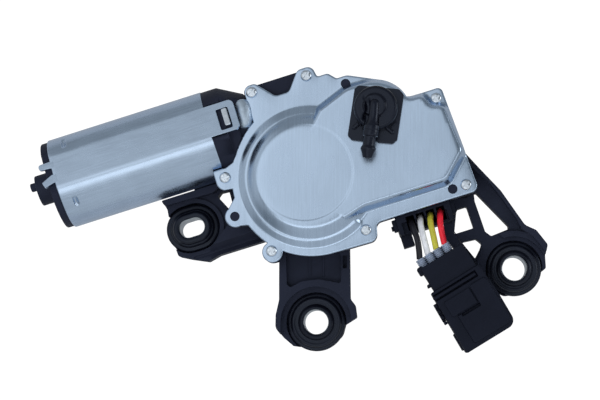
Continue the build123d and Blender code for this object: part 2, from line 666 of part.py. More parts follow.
# the left arm: a plate with a bar beside the can, a half ring at the eye and a body with sloped facets
with BuildPart() as arm_left:
    add(arm_block(ARM_Z, LEFT_PLATE, LEFT_ARM))
    add(arm_block(ARM_Z, ARM_TOP + 2.0, LEFT_BAR))
    with BuildSketch(Plane.XY.offset(ARM_Z)):
        add(ring_at(LEFT_EYE, LEFT_RING_R, EYE_HALF))
        add(LEFT_RING_CUT, mode=Mode.SUBTRACT)
        add(LEFT_ARM, mode=Mode.INTERSECT)
    extrude(amount=LEFT_RING_TOP - ARM_Z)
    add(arm_block(ARM_Z, ARM_TOP, LEFT_BODY))
    with Locations(Location((-76.0, -40.4, ARM_TOP + 1.0), (-33, 0, 0))):
        Box(50, 14, 6, mode=Mode.SUBTRACT)
    with Locations(Location((-95.4, -35.6, ARM_TOP + 1.6), (0, -30, 38))):
        Box(8, 24, 6, mode=Mode.SUBTRACT)
    add(arm_block(ARM_Z, ARM_TOP + 2.0, LEFT_WINDOW), mode=Mode.SUBTRACT)
    # ribbed underside
    with BuildSketch(Plane.XY.offset(ARM_Z)):
        add(LEFT_ARM)
        offset(amount=-ARM_WALL)
        add(ring_at(LEFT_EYE, LEFT_RING_R, EYE_HALF), mode=Mode.SUBTRACT)
        with Locations(Location((-78.0, -26.0, 0), 55)):
            Rectangle(60, RIB_T, mode=Mode.SUBTRACT)
        offset(LEFT_WINDOW, amount=ARM_WALL - 0.6, mode=Mode.SUBTRACT)
    extrude(amount=HOUSING_Z - 2.0 - ARM_Z, mode=Mode.SUBTRACT)
    add(clear_of_housing(LEFT_EYE, LEFT_CUP_R, EYE_HALF, LEFT_HOLE_R), mode=Mode.SUBTRACT)
save(arm_left, "arm_left")

# the lower arm: a thick plate with a shallow pocket and a recess round the eye that is open at its end
with BuildPart() as arm_lower:
    add(arm_block(ARM_Z, ARM_TOP, LOWER_ARM))
    with BuildSketch(Plane.XY.offset(RECESS_Z)):
        add(ring_at(LOWER_EYE, RECESS_R))
        with Locations(Location((LOWER_EYE[0] - 4.5, LOWER_EYE[1] - 14.2, 0), -17.4)):
            Rectangle(2 * RECESS_R, 30)
    extrude(amount=ARM_TOP - RECESS_Z, mode=Mode.SUBTRACT)
    add(arm_block(POCKET_FLOOR, ARM_TOP, LOWER_POCKET), mode=Mode.SUBTRACT)
    add(arm_block(POCKET_FLOOR, ARM_TOP, LOWER_NOTCH), mode=Mode.SUBTRACT)
    with Locations(Location((-50.0, -55.0, POCKET_FLOOR), (0, 0, -17.4)), Location((-44.0, -57.0, POCKET_FLOOR), (0, 0, -17.4))):
        Box(0.9, 12, 1.2)
    with BuildSketch(Plane.XY.offset(ARM_Z)):
        add(LOWER_ARM)
        offset(amount=-ARM_WALL)
        add(ring_at(LOWER_EYE, EYE_WALL_R + 1.0), mode=Mode.SUBTRACT)
        with Locations(Location((-49.5, -58.0, 0), 72.6)):
            Rectangle(70, RIB_T, mode=Mode.SUBTRACT)
    extrude(amount=UNDER_DEEP, mode=Mode.SUBTRACT)
    add(clear_of_housing(LOWER_EYE, LOWER_CUP_R), mode=Mode.SUBTRACT)
save(arm_lower, "arm_lower")

# the right arm: an open lattice with a tall rim along its outer edge
with BuildPart() as arm_right:
    add(arm_block(ARM_Z, RECESS_Z, RIGHT_ARM))
    add(arm_block(ARM_Z, ARM_TOP, RIGHT_RIM))
    with BuildSketch(Plane.XY.offset(RECESS_Z)):
        add(ring_at(RIGHT_EYE, EYE_WALL_R + 2.6))
        add(ring_at(RIGHT_EYE, EYE_WALL_R), mode=Mode.SUBTRACT)
        add(RIGHT_CREST, mode=Mode.INTERSECT)
        add(RIGHT_ARM, mode=Mode.INTERSECT)
    extrude(amount=3.0)
    for window in RIGHT_WINDOWS:
        add(arm_block(ARM_Z, ARM_TOP, window), mode=Mode.SUBTRACT)
    add(clear_of_housing(RIGHT_EYE, RIGHT_CUP_R), mode=Mode.SUBTRACT)
save(arm_right, "arm_right")
for piece in (arm_left, arm_lower, arm_right):
    print("arm", piece.part.is_valid, piece.part.volume, len(piece.part.solids()))


def grommet(eye, body, open_end, lip, neck, half=0.0):
    """A rubber grommet: two lips in whose groove the arm's seat lies, and a rolled collar over the sleeve's end."""
    with BuildPart() as ring:
        low = min(lip, GROMMET_R)
        for bottom, top, radius in (
                (GROMMET_LOW, GROMMET_LOW + 0.7, low - 0.7), (GROMMET_LOW + 0.7, ARM_Z, low), (ARM_Z, EYE_SEAT, neck),
                (EYE_SEAT, LIP_TOP, lip), (LIP_TOP, LIP_TOP + 0.7, lip - 0.6)):
            add(arm_block(bottom, top, ring_at(eye, radius, half)))
        for bottom, top, wide, narrow in (
                (LIP_TOP + 0.7, CREST_Z, lip - 1.8, lip - 2.2), (CREST_Z, CREST_Z + 0.5, lip - 2.2, lip - 3.0),
                (CREST_Z + 0.5, GROMMET_TOP - 0.6, COLLAR_R, COLLAR_R - 0.2),
                (GROMMET_TOP - 0.6, GROMMET_TOP, COLLAR_R - 0.2, COLLAR_R - 0.8)):
            with BuildSketch(Plane.XY.offset(bottom)):
                add(ring_at(eye, wide - (0.6 if half else 0), half))
            with BuildSketch(Plane.XY.offset(top)):
                add(ring_at(eye, narrow - (0.6 if half else 0), half))
            loft(ruled=True)
        with BuildSketch():
            with Locations(eye):
                add(body)
        extrude(amount=SLEEVE_H, mode=Mode.SUBTRACT)
        with BuildSketch(Plane.XY.offset(SLEEVE_H)):
            with Locations(eye):
                add(open_end)
        extrude(amount=GROMMET_TOP, mode=Mode.SUBTRACT)
    return ring


def sleeve(eye, body, bore):
    """A steel sleeve whose lower face is a mounting face."""
    with BuildPart() as tube:
        with BuildSketch():
            with Locations(eye):
                add(body)
                add(bore, mode=Mode.SUBTRACT)
        extrude(amount=SLEEVE_H)
    return tube


with BuildSketch() as round_body:
    Circle(SLEEVE_OUT)
with BuildSketch() as round_bore:
    Circle(SLEEVE_BORE)
with BuildSketch() as round_open:
    Circle(SLEEVE_BORE + OPEN_GAP)
with BuildSketch() as slot_open:
    SlotOverall(SLOT_LONG + 2 * OPEN_GAP, SLOT_WIDE + 2 * OPEN_GAP)
with BuildSketch() as slot_body:
    SlotOverall(SLOT_LONG + 3.0, SLOT_WIDE + 3.0)
with BuildSketch() as slot_bore:
    SlotOverall(SLOT_LONG, SLOT_WIDE)
save(grommet(LEFT_EYE, slot_body.sketch, slot_open.sketch, LEFT_LIP_R, LEFT_HOLE_R, EYE_HALF), "grommet_left")
save(grommet(LOWER_EYE, round_body.sketch, round_open.sketch, LOWER_LIP_R, EYE_HOLE_R), "grommet_lower")
save(grommet(RIGHT_EYE, round_body.sketch, round_open.sketch, RIGHT_LIP_R, EYE_HOLE_R), "grommet_right")
save(sleeve(LEFT_EYE, slot_body.sketch, slot_bore.sketch), "sleeve_left")
save(sleeve(LOWER_EYE, round_body.sketch, round_bore.sketch), "sleeve_lower")
save(sleeve(RIGHT_EYE, round_body.sketch, round_bore.sketch), "sleeve_right")

# ---------------------------------------------------------------- motor
with BuildPart() as motor_can:
    with BuildSketch(motor_plane(CAN_LEFT)):
        add(flat_round(CAN_R, FLAT_DIST))
        add(flat_round(CAN_R - CAN_WALL, FLAT_DIST - CAN_WALL), mode=Mode.SUBTRACT)
    extrude(amount=CAN_RIGHT - CAN_LEFT)
    # tongue with its window, and the two tabs at the other end, all in the plane of the flat
    with BuildSketch(flat_plane(TONGUE_UNDER)):
        add(outline((CAN_RIGHT - 2, -TONGUE_W / 2, 0), (TONGUE_END, -TONGUE_W / 2, 3),
                    (TONGUE_END, TONGUE_W / 2, 3), (CAN_RIGHT - 2, TONGUE_W / 2, 0)))
        add(outline((-69.5, -5.8, 0.6), (-64, -5.8, 0.6), (-64, 4.4, 0.6), (-69.5, 4.4, 0.6)), mode=Mode.SUBTRACT)
        add(outline((CAN_LEFT + 2, 1.6, 0), (CAN_LEFT + 2, 5.2, 0), (-150.5, 5.0, 0.6), (-154.8, 4.8, 1.2),
                    (-154.8, 2.2, 1.2), (-150.5, 1.8, 0.4)))
        add(outline((CAN_LEFT + 2, -1.4, 0), (-149.8, -1.4, 0.4), (-155.0, -3.9, 0.5), (-154.2, -6.6, 0.5),
                    (-149.6, -5.4, 0.4), (CAN_LEFT + 2, -5.4, 0)))
    extrude(amount=CAN_WALL)
save(motor_can, "motor_can")
print("can", motor_can.part.is_valid, len(motor_can.part.solids()))

with BuildPart() as end_cap:
    with BuildSketch(motor_plane(CAN_LEFT)):
        add(flat_round(CAN_R - 0.7, FLAT_DIST - CAN_WALL))
    extrude(amount=-CAP_RIM)
    with BuildSketch(motor_plane(CAN_LEFT)):
        add(flat_round(CAN_R - CAN_WALL, FLAT_DIST - CAN_WALL))
    extrude(amount=CAP_SPIGOT)
    with BuildSketch(motor_plane(CAN_LEFT - CAP_RIM)):
        Circle(CAP_BOSS_R)
    extrude(amount=CAP_BOSS_END - CAN_LEFT + CAP_RIM, both=False, dir=(1, 0, 0))
    with BuildSketch(motor_plane(CAP_BOSS_END)):
        with Locations((2.4, 0)):
            Circle(2.0)
    extrude(amount=-3.2)
    with BuildSketch(motor_plane(CAN_LEFT + CAP_SPIGOT)):
        Circle(CAN_R - CAN_WALL - 3)
    extrude(amount=-(CAP_SPIGOT + CAP_RIM - 2), mode=Mode.SUBTRACT)
    with BuildSketch(motor_plane(CAN_LEFT + CAP_SPIGOT)):
        Circle(BEARING_R)
    extrude(amount=-(CAN_LEFT + CAP_SPIGOT - CAP_BOSS_END - 2), mode=Mode.SUBTRACT)
save(end_cap, "end_cap")
print("cap", end_cap.part.is_valid, len(end_cap.part.solids()))


def motor_ring(x, length, outer, inner):
    """A ring round the motor's axis that starts at x."""
    with BuildPart() as ring:
        with BuildSketch(motor_plane(x)):
            Circle(outer)
            if inner > 0:
                Circle(inner, mode=Mode.SUBTRACT)
        extrude(amount=length)
    return ring


save(motor_ring(REAR_BEARING_X, 6, BEARING_R, SHAFT_R + RUNNING_GAP), "rear_bearing")
save(motor_ring(FRONT_BEARING_X, 6, TUNNEL_BORE_R, SHAFT_R + RUNNING_GAP), "front_bearing")
save(motor_ring(WORM_BEARING_X, 5, TUNNEL_BORE_R, SHAFT_R + RUNNING_GAP), "worm_end_bearing")
save(motor_ring(SHAFT_END + RUNNING_GAP, TUNNEL_END - SHAFT_END - RUNNING_GAP, TUNNEL_BORE_R, 0), "thrust_button")
save(motor_ring(COMMUTATOR_X, COMMUTATOR_L, COMMUTATOR_R, SHAFT_R), "commutator")

with BuildPart() as magnets:
    with BuildSketch(motor_plane(MAGNET_X)):
        Circle(MAGNET_OUT)
        Circle(MAGNET_IN, mode=Mode.SUBTRACT)
        with Locations(Location((0, 0, 0), (0, 0, -FLAT_TILT))):
            Rectangle(18, 3 * CAN_R, mode=Mode.SUBTRACT)
    extrude(amount=MAGNET_L)
save(magnets, "magnets")

with BuildPart() as armature_shaft:
    with BuildSketch(motor_plane(SHAFT_START)):
        Circle(SHAFT_R)
    extrude(amount=SHAFT_END - SHAFT_START)
    with BuildSketch(motor_plane(WORM_START - 1.5)):
        Circle(WORM_R - WORM_ROOT)
    extrude(amount=WORM_LENGTH + 3)
    with BuildLine() as thread_path:
        helix = Helix(WORM_LEAD, WORM_LENGTH, WORM_R, center=(WORM_START, MOTOR_Y, MOTOR_Z), direction=(1, 0, 0))
    thread_start = helix @ 0
    thread_radial = thread_start - Vector(WORM_START, MOTOR_Y, MOTOR_Z)
    with BuildSketch(Plane(origin=thread_start, x_dir=thread_radial, z_dir=helix % 0)):
        Polygon((-WORM_ROOT - 0.2, -THREAD_HALF_ROOT), (0.9 * GEAR_MODULE, -THREAD_HALF_TIP),
                (0.9 * GEAR_MODULE, THREAD_HALF_TIP), (-WORM_ROOT - 0.2, THREAD_HALF_ROOT), align=None)
    sweep(path=helix, is_frenet=True)
save(armature_shaft, "armature_shaft")
print("worm", armature_shaft.part.is_valid, len(armature_shaft.part.solids()), thread_radial)

with BuildPart() as armature_core:
    with BuildSketch(motor_plane(CORE_X)):
        Circle(CORE_R)
        Circle(SHAFT_R, mode=Mode.SUBTRACT)
        with PolarLocations(CORE_R, CORE_SLOTS):
            Rectangle(2.4, 1.4, mode=Mode.SUBTRACT)
        with PolarLocations(CORE_R - 3.6, CORE_SLOTS):
            Rectangle(5.2, 2.6, mode=Mode.SUBTRACT)
    extrude(amount=CORE_L)
save(armature_core, "armature_core")

with BuildPart() as armature_windings:
    for side in (CORE_X - WINDING_L, CORE_X + CORE_L):
        with BuildSketch(motor_plane(side)):
            Circle(CORE_R - 1.4)
            Circle(SHAFT_R + 1.2, mode=Mode.SUBTRACT)
        extrude(amount=WINDING_L)
save(armature_windings, "armature_windings")

with BuildPart() as brush_plate:
    with BuildSketch(motor_plane(BRUSH_PLATE_X)):
        Circle(SPIGOT_OUT - 2)
        Circle(COMMUTATOR_R + 1.5, mode=Mode.SUBTRACT)
    extrude(amount=2)
save(brush_plate, "brush_plate")

with BuildPart() as brushes:
    with BuildSketch(motor_plane(BRUSH_PLATE_X - 5)):
        with PolarLocations(COMMUTATOR_R + RUNNING_GAP + 3, 2):
            Rectangle(6, 4)
        Circle(COMMUTATOR_R + RUNNING_GAP, mode=Mode.SUBTRACT)
    extrude(amount=5)
save(brushes, "brushes")

with BuildPart() as brush_springs:
    for side in (-1, 1):
        with BuildSketch(Plane(origin=(BRUSH_PLATE_X - 2.5, MOTOR_Y + side * (COMMUTATOR_R + 6.05), MOTOR_Z),
                               z_dir=(0, side, 0))):
            Circle(1.5)
            Circle(1.0, mode=Mode.SUBTRACT)
        extrude(amount=2.6)
save(brush_springs, "brush_springs")

with BuildPart() as chokes:
    with BuildSketch(motor_plane(BRUSH_PLATE_X - 9)):
        with PolarLocations(13.5, 2, start_angle=70):
            Circle(2.2)
    extrude(amount=9)
save(chokes, "chokes")

# ---------------------------------------------------------------- worm wheel
wheel_twist = math.degrees(WORM_LEAD / (2 * math.pi * WORM_R) / WHEEL_PITCH_R) * WHEEL_WIDTH
with BuildPart() as worm_wheel:
    for height, turn in ((WHEEL_BOTTOM, -wheel_twist / 2), (WHEEL_TOP - 0.1, wheel_twist / 2)):
        with BuildSketch(Plane(origin=(WHEEL_X, WHEEL_Y, height),
                               x_dir=(*along(90 + turn, 1), 0))):
            Polygon(*gear_outline(WHEEL_TEETH, GEAR_MODULE, GEAR_SLACK), align=None)
    loft(ruled=True)
    for height, depth in ((WHEEL_BOTTOM, WHEEL_WEB_IN), (WHEEL_TOP, -WHEEL_WEB_IN)):
        with BuildSketch(Plane.XY.offset(height)):
            with Locations((WHEEL_X, WHEEL_Y)):
                Circle(WHEEL_RIM_R)
                Circle(WHEEL_HUB_R, mode=Mode.SUBTRACT)
                with PolarLocations(0, 4, angular_range=180):
                    Rectangle(2 * WHEEL_RIM_R, 2.0, mode=Mode.SUBTRACT)
        extrude(amount=depth, mode=Mode.SUBTRACT)
    with BuildSketch(Plane.XY.offset(WHEEL_BOTTOM)):
        with Locations((WHEEL_X, WHEEL_Y)):
            Circle(AXLE_R + RUNNING_GAP)
        with Locations(EYE):
            Circle(CRANK_PIN_R)
    extrude(amount=WHEEL_WIDTH, mode=Mode.SUBTRACT)
    with BuildSketch(Plane.XY.offset(WHEEL_BOTTOM)):
        with Locations(along(ROD_START, 20.0, (WHEEL_X, WHEEL_Y))):
            Circle(MAGNET_POST_R)
    extrude(amount=WHEEL_WIDTH - 0.1)
    with BuildSketch(Plane.XY.offset(WHEEL_BOTTOM)):
        with Locations(along(ROD_START, 20.0, (WHEEL_X, WHEEL_Y))):
            Circle(PARK_MAGNET_R)
    extrude(amount=3, mode=Mode.SUBTRACT)
save(worm_wheel, "worm_wheel")
print("wheel", worm_wheel.part.is_valid, len(worm_wheel.part.solids()))


def post(centre, low, high, outer, inner=0.0):
    """An upright round piece, solid or bored."""
    with BuildPart() as piece:
        with BuildSketch(Plane.XY.offset(low)):
            with Locations(centre):
                Circle(outer)
                if inner > 0:
                    Circle(inner, mode=Mode.SUBTRACT)
        extrude(amount=high - low)
    return piece


save(post(along(ROD_START, 20.0, (WHEEL_X, WHEEL_Y)), WHEEL_BOTTOM, WHEEL_BOTTOM + 3, PARK_MAGNET_R), "park_magnet")
save(post((WHEEL_X, WHEEL_Y), HOUSING_Z + 2, WHEEL_TOP, AXLE_R), "wheel_axle")
save(post(EYE, WHEEL_BOTTOM, ROD_Z - TOP_GAP, CRANK_PIN_R), "crank_pin")

# ---------------------------------------------------------------- geared rod, rocker link, output shaft
SECTOR_PITCH = 360 / SECTOR_FULL_TEETH
TOWARDS_OUTPUT = SWING_START + 180
with BuildPart() as sector_rod:
    with BuildSketch(Plane(origin=(*PIVOT, ROD_Z), x_dir=(*along(TOWARDS_OUTPUT - 1.5 * SECTOR_PITCH, 1), 0))):
        Polygon((-3, -3), *gear_outline(SECTOR_FULL_TEETH, RACK_MODULE, GEAR_SLACK, 0, SECTOR_TEETH), align=None)
        Circle(ROD_BOSS_R)
    extrude(amount=ROD_THICK)
    with BuildSketch(Plane(origin=(*PIVOT, ROD_Z), x_dir=(*along(ROD_START + 180, 1), 0))):
        Polygon((0, -ROD_BOSS_R), (ROD_LENGTH, -4.5), (ROD_LENGTH, 4.5), (0, ROD_BOSS_R), align=None)
        with Locations((ROD_LENGTH, 0)):
            Circle(ROD_EYE_R)
    extrude(amount=ROD_THICK)
    with BuildSketch(Plane.XY.offset(ROD_Z)):
        with Locations(PIVOT):
            Circle(PIVOT_R + RUNNING_GAP)
        with Locations(EYE):
            Circle(CRANK_PIN_R + RUNNING_GAP)
    extrude(amount=ROD_THICK, mode=Mode.SUBTRACT)
save(sector_rod, "sector_rod")
print("rod", sector_rod.part.is_valid, len(sector_rod.part.solids()))

with BuildPart() as rocker_link:
    with BuildSketch(Plane.XY.offset(LINK_Z)):
        Circle(LINK_END_R)
        with Locations(PIVOT):
            Circle(LINK_END_R - 0.8)
        with Locations(Location(((PIVOT[0]) / 2, PIVOT[1] / 2, 0), (0, 0, SWING_START))):
            Rectangle(ROCKER, 2 * LINK_END_R - 3)
        Circle(JOURNAL_R + RUNNING_GAP, mode=Mode.SUBTRACT)
        with Locations(PIVOT):
            Circle(PIVOT_R, mode=Mode.SUBTRACT)
    extrude(amount=LINK_THICK)
save(rocker_link, "rocker_link")

with BuildPart() as sector_pivot_pin:
    with BuildSketch(Plane.XY.offset(ROD_Z - 0.5)):
        with Locations(PIVOT):
            Circle(PIVOT_R)
    extrude(amount=LINK_Z + LINK_THICK - ROD_Z + 0.5)
    with BuildSketch(Plane.XY.offset(ROD_Z + ROD_THICK + 0.1)):
        with Locations(PIVOT):
            Circle(PIVOT_R + 1.6)
    extrude(amount=LINK_Z - ROD_Z - ROD_THICK - 0.1)
save(sector_pivot_pin, "sector_pivot_pin")

with BuildPart() as output_shaft:
    with BuildSketch(Plane.XZ):
        Polygon(
            (OUTPUT_BORE_R, OUTPUT_END), (3.5, OUTPUT_END), (4.0, OUTPUT_END + 0.6), (4.0, TAPER_LOW),
            (4.3, TAPER_LOW), (OUTPUT_R, TAPER_HIGH), (OUTPUT_R, RING_GROOVE_Z),
            (OUTPUT_R - 0.5, RING_GROOVE_Z), (OUTPUT_R - 0.5, RING_GROOVE_Z + RETAINER_H),
            (OUTPUT_R, RING_GROOVE_Z + RETAINER_H), (OUTPUT_R, PINION_Z + PINION_H), (JOURNAL_R, PINION_Z + PINION_H),
            (JOURNAL_R, SHAFT_TOP), (SEAL_BORE_R, SHAFT_TOP), (SEAL_BORE_R, SHAFT_TOP - SEAL_BORE_DEEP),
            (OUTPUT_BORE_R, SHAFT_TOP - SEAL_BORE_DEEP), align=None)
    revolve(axis=Axis.Z)
save(output_shaft, "output_shaft")

with BuildPart() as output_pinion:
    with BuildSketch(Plane(origin=(0, 0, PINION_Z), x_dir=(*along(SWING_START, 1), 0))):
        Polygon(*gear_outline(PINION_TEETH, RACK_MODULE, GEAR_SLACK), align=None)
        Circle(OUTPUT_R, mode=Mode.SUBTRACT)
    extrude(amount=PINION_H)
save(output_pinion, "output_pinion")
print("pinion", output_pinion.part.is_valid, output_shaft.part.is_valid)

save(post((0, 0), RING_GROOVE_Z, RING_GROOVE_Z + RETAINER_H, BUSH_R + 0.6, OUTPUT_R - 0.5), "retaining_ring")
save(post((0, 0), NECK_END, NECK_END + 12, BUSH_R, OUTPUT_R + RUNNING_GAP), "lower_bush")
save(post((0, 0), NECK_ROOT_Z + 4, NECK_ROOT_Z + 16, BUSH_R, OUTPUT_R + RUNNING_GAP), "upper_bush")
save(post((0, 0), NECK_END + 12, NECK_END + 15, BUSH_R, OUTPUT_R + RUNNING_GAP), "shaft_seal")
save(post((0, 0), NECK_SEAL_Z, NECK_ROOT_Z, NECK_SEAL_R, NECK_COLLAR_R), "neck_seal")

# ---------------------------------------------------------------- washer inlet
INLET_TOP = PLATEAU_TOP + INLET_BASE_H
PIPE_Z = INLET_TOP + CAP_H - 0.6
PIPE_START = along(PIPE_HEADING + 180, 3.0, along(PIPE_HEADING + 90, PIPE_SIDE))
with BuildPart() as washer_inlet:
    with BuildSketch(Plane.XY.offset(PLATEAU_TOP)):
        add(outline((-6.2, 12.6, 1), (-4.0, 13.6, 1.5), (13.0, 6.3, 1.5), (14.3, 3.2, 1.5), (5.2, -15.4, 1.5),
                    (2.6, -16.6, 1.5), (-3.2, -14.2, 1), (-4.4, -12.4, 1), (-7.8, -11.0, 1), (-10.0, -11.4, 1),
                    (-14.4, -9.4, 1.5), (-15.6, -6.8, 1.5)))
    extrude(amount=INLET_BASE_H)
    with BuildSketch(Plane.XY.offset(INLET_TOP)):
        with Locations(CAP_AT):
            Circle(CAP_R)
    extrude(amount=CAP_H - 2.0)
    with BuildSketch(Plane.XY.offset(INLET_TOP + CAP_H - 2.0)):
        with Locations(CAP_AT):
            Circle(CAP_R - 0.8)
    extrude(amount=0.8)
    with BuildSketch(Plane.XY.offset(INLET_TOP + CAP_H - 1.2)):
        with Locations(CAP_AT):
            Circle(CAP_R - 4.6)
    extrude(amount=1.2)
    with BuildSketch(Plane.XY.offset(PLATEAU_TOP)):
        Circle(SPIGOT_R)
    extrude(amount=-(PLATEAU_TOP - SPIGOT_END))
    with BuildSketch(Plane(origin=(*PIPE_START, PIPE_Z), x_dir=(*along(PIPE_HEADING, 1), 0),
                           z_dir=(*along(PIPE_HEADING - 90, 1), 0))):
        Polygon((0, 0), (0, PIPE_R), (15.0, PIPE_R), (15.0, PIPE_R + 1.1), (18.0, PIPE_R + 1.1),
                (18.0, PIPE_R + 0.4), (21.0, PIPE_R + 0.4), (21.4, PIPE_R + 1.0), (23.0, PIPE_R + 0.9),
                (PIPE_TIP + 3.0, PIPE_R - 0.4), (PIPE_TIP + 3.0, 0), align=None)
    revolve(axis=Axis((*PIPE_START, PIPE_Z), (*along(PIPE_HEADING, 1), 0)))
    with BuildSketch(Plane(origin=(*along(PIPE_HEADING, PIPE_TIP + 3.0, PIPE_START), PIPE_Z), x_dir=(0, 0, 1),
                           z_dir=(*along(PIPE_HEADING, 1), 0))):
        Circle(1.2)
    extrude(amount=-PIPE_TIP, mode=Mode.SUBTRACT)
    with BuildSketch(Plane.XY.offset(SPIGOT_END)):
        Circle(1.2)
    extrude(amount=PIPE_Z - SPIGOT_END, mode=Mode.SUBTRACT)
    # chamber between the upright bore and the pipe's
    with BuildSketch(Plane.XY.offset(INLET_TOP)):
        Circle(3.2)
    extrude(amount=PIPE_Z - INLET_TOP - 2.6, mode=Mode.SUBTRACT)
save(washer_inlet, "washer_inlet")
print("inlet", washer_inlet.part.is_valid, len(washer_inlet.part.solids()))
save(post((0, 0), SPIGOT_END + 0.4, SPIGOT_END + 2.4, SEAL_BORE_R - RUNNING_GAP, SPIGOT_R), "inlet_seal")

# ---------------------------------------------------------------- control board and terminal socket
with BuildPart() as control_board:
    with BuildSketch(Plane.XY.offset(BOARD_Z)):
        add(BOARD_CHAMBER)
        offset(amount=-0.6)
    extrude(amount=BOARD_T)
save(control_board, "control_board")

with BuildPart() as board_parts:
    with Locations((4.5, -18.5, BOARD_Z + BOARD_T + 4), (4.5, -28.0, BOARD_Z + BOARD_T + 4)):
        Box(11, 7.5, 8)
    with BuildSketch(Plane.XY.offset(BOARD_Z + BOARD_T)):
        with Locations((24.5, -14.0), (23.5, -25.0)):
            Circle(3.6)
    extrude(amount=9)
    with Locations((15.5, -20.0, BOARD_Z + BOARD_T + 1.2), (15.5, -29.0, BOARD_Z + BOARD_T + 1.2)):
        Box(6, 5, 2.4)
save(board_parts, "board_parts")

with BuildPart() as hall_sensor:
    with Locations((*along(ROD_START, 20.0, (WHEEL_X, WHEEL_Y)), WHEEL_FLOOR + 0.7)):
        Box(4, 3, 1.4)
save(hall_sensor, "hall_sensor")

with BuildPart() as terminal_socket:
    with BuildSketch(Plane.XY.offset(BLOCK_Z)):
        add(outline((BLOCK_LEFT, BLOCK_FRONT, 0.8), (BLOCK_RIGHT, BLOCK_FRONT, 0.8),
                    (BLOCK_RIGHT, BLOCK_BACK, 0), (BLOCK_LEFT, BLOCK_BACK, 0)))
    extrude(amount=BLOCK_TOP - BLOCK_Z)
    with Locations(*[(x, CELL_Y, BLOCK_TOP) for x in WIRE_CELLS]):
        Box(CELL_W, CELL_L, 2 * (BLOCK_TOP - CELL_FLOOR), mode=Mode.SUBTRACT)
    with Locations(*[(x, BLOCK_FRONT, BLOCK_TOP) for x in WIRE_CELLS]):
        Box(CELL_W, 6, 6, mode=Mode.SUBTRACT)
    with Locations(((BLOCK_LEFT + BLOCK_RIGHT) / 2, BLOCK_FRONT, BLOCK_TOP)):
        Box(BLOCK_RIGHT - BLOCK_LEFT - 4.4, 10.6, 7.0, mode=Mode.SUBTRACT)
    # tongue through the wall of the housing, with a passage for each pin
    with Locations(((BLOCK_LEFT + BLOCK_RIGHT) / 2, (BLOCK_BACK + PORT_IN) / 2, PORT_Z)):
        Box(PORT_W, PORT_IN - BLOCK_BACK, PORT_H)
    with Locations(*[(x, PIN_Y, PORT_Z) for x in WIRE_CELLS]):
        Box(PIN_SIZE, PIN_LENGTH, PIN_SIZE, mode=Mode.SUBTRACT)
    # tab under the wires and clips at both ends
    with Locations((-3.6, BLOCK_FRONT - 2.8, 19.0)):
        Box(5.2, 5.6, 9.0)
    for side, x in ((-1, BLOCK_LEFT), (1, BLOCK_RIGHT)):
        with Locations((x + side * 0.9, BLOCK_BACK - 3.6, 25.0)):
            Box(1.8, 5.4, 8.0)
        with Locations((x + side * 2.1, BLOCK_BACK - 4.4, 24.0)):
            Box(1.2, 2.0, 6.0)
save(terminal_socket, "terminal_socket")
print("socket", terminal_socket.part.is_valid, len(terminal_socket.part.solids()))

with BuildPart() as board_pins:
    with Locations(*[(x, PIN_Y, PORT_Z) for x in WIRE_CELLS]):
        Box(PIN_SIZE, PIN_LENGTH, PIN_SIZE)
save(board_pins, "board_pins")

# ---------------------------------------------------------------- can hook and ground strap
with BuildPart() as can_hook:
    with BuildSketch(flat_plane(TONGUE_UNDER - 0.2)):
        with Locations((-65.8, -0.6)):
            RectangleRounded(2.0, 8.4, 0.6)
    extrude(amount=CAN_WALL + 1.9)
save(can_hook, "can_hook")

with BuildPart() as ground_strap:
    with BuildSketch(Plane(origin=(STRAP_X, STRAP_Y, FLANGE_Z), x_dir=(1, 0, 0), z_dir=(0, -1, 0))):
        Circle(STRAP_R)
        Circle(STRAP_R - 0.9, mode=Mode.SUBTRACT)
        with Locations((0, -STRAP_R)):
            Rectangle(4 * STRAP_R, 2 * STRAP_R, mode=Mode.SUBTRACT)
    extrude(amount=STRAP_W / 2, both=True)
save(ground_strap, "ground_strap")

# ---------------------------------------------------------------- plug
PLUG_U = along(PLUG_HEADING, 1.0)
PLUG_V = along(PLUG_HEADING + 90, 1.0)


def plug_point(u, v):
    """A point of the plug: u along it from its back, v across it."""
    return (PLUG_BACK[0] + u * PLUG_U[0] + v * PLUG_V[0], PLUG_BACK[1] + u * PLUG_U[1] + v * PLUG_V[1])


def plug_plane(z):
    """A horizontal plane whose X runs along the plug and whose Y runs across it."""
    return Plane(origin=(*PLUG_BACK, z), x_dir=(*PLUG_U, 0), z_dir=(0, 0, 1))


def plug_face(u):
    """A plane across the plug, facing its back; its X runs across the plug and its Y points to -Z."""
    return Plane(origin=(*plug_point(u, 0), PLUG_Z), x_dir=(*PLUG_V, 0), z_dir=(-PLUG_U[0], -PLUG_U[1], 0))


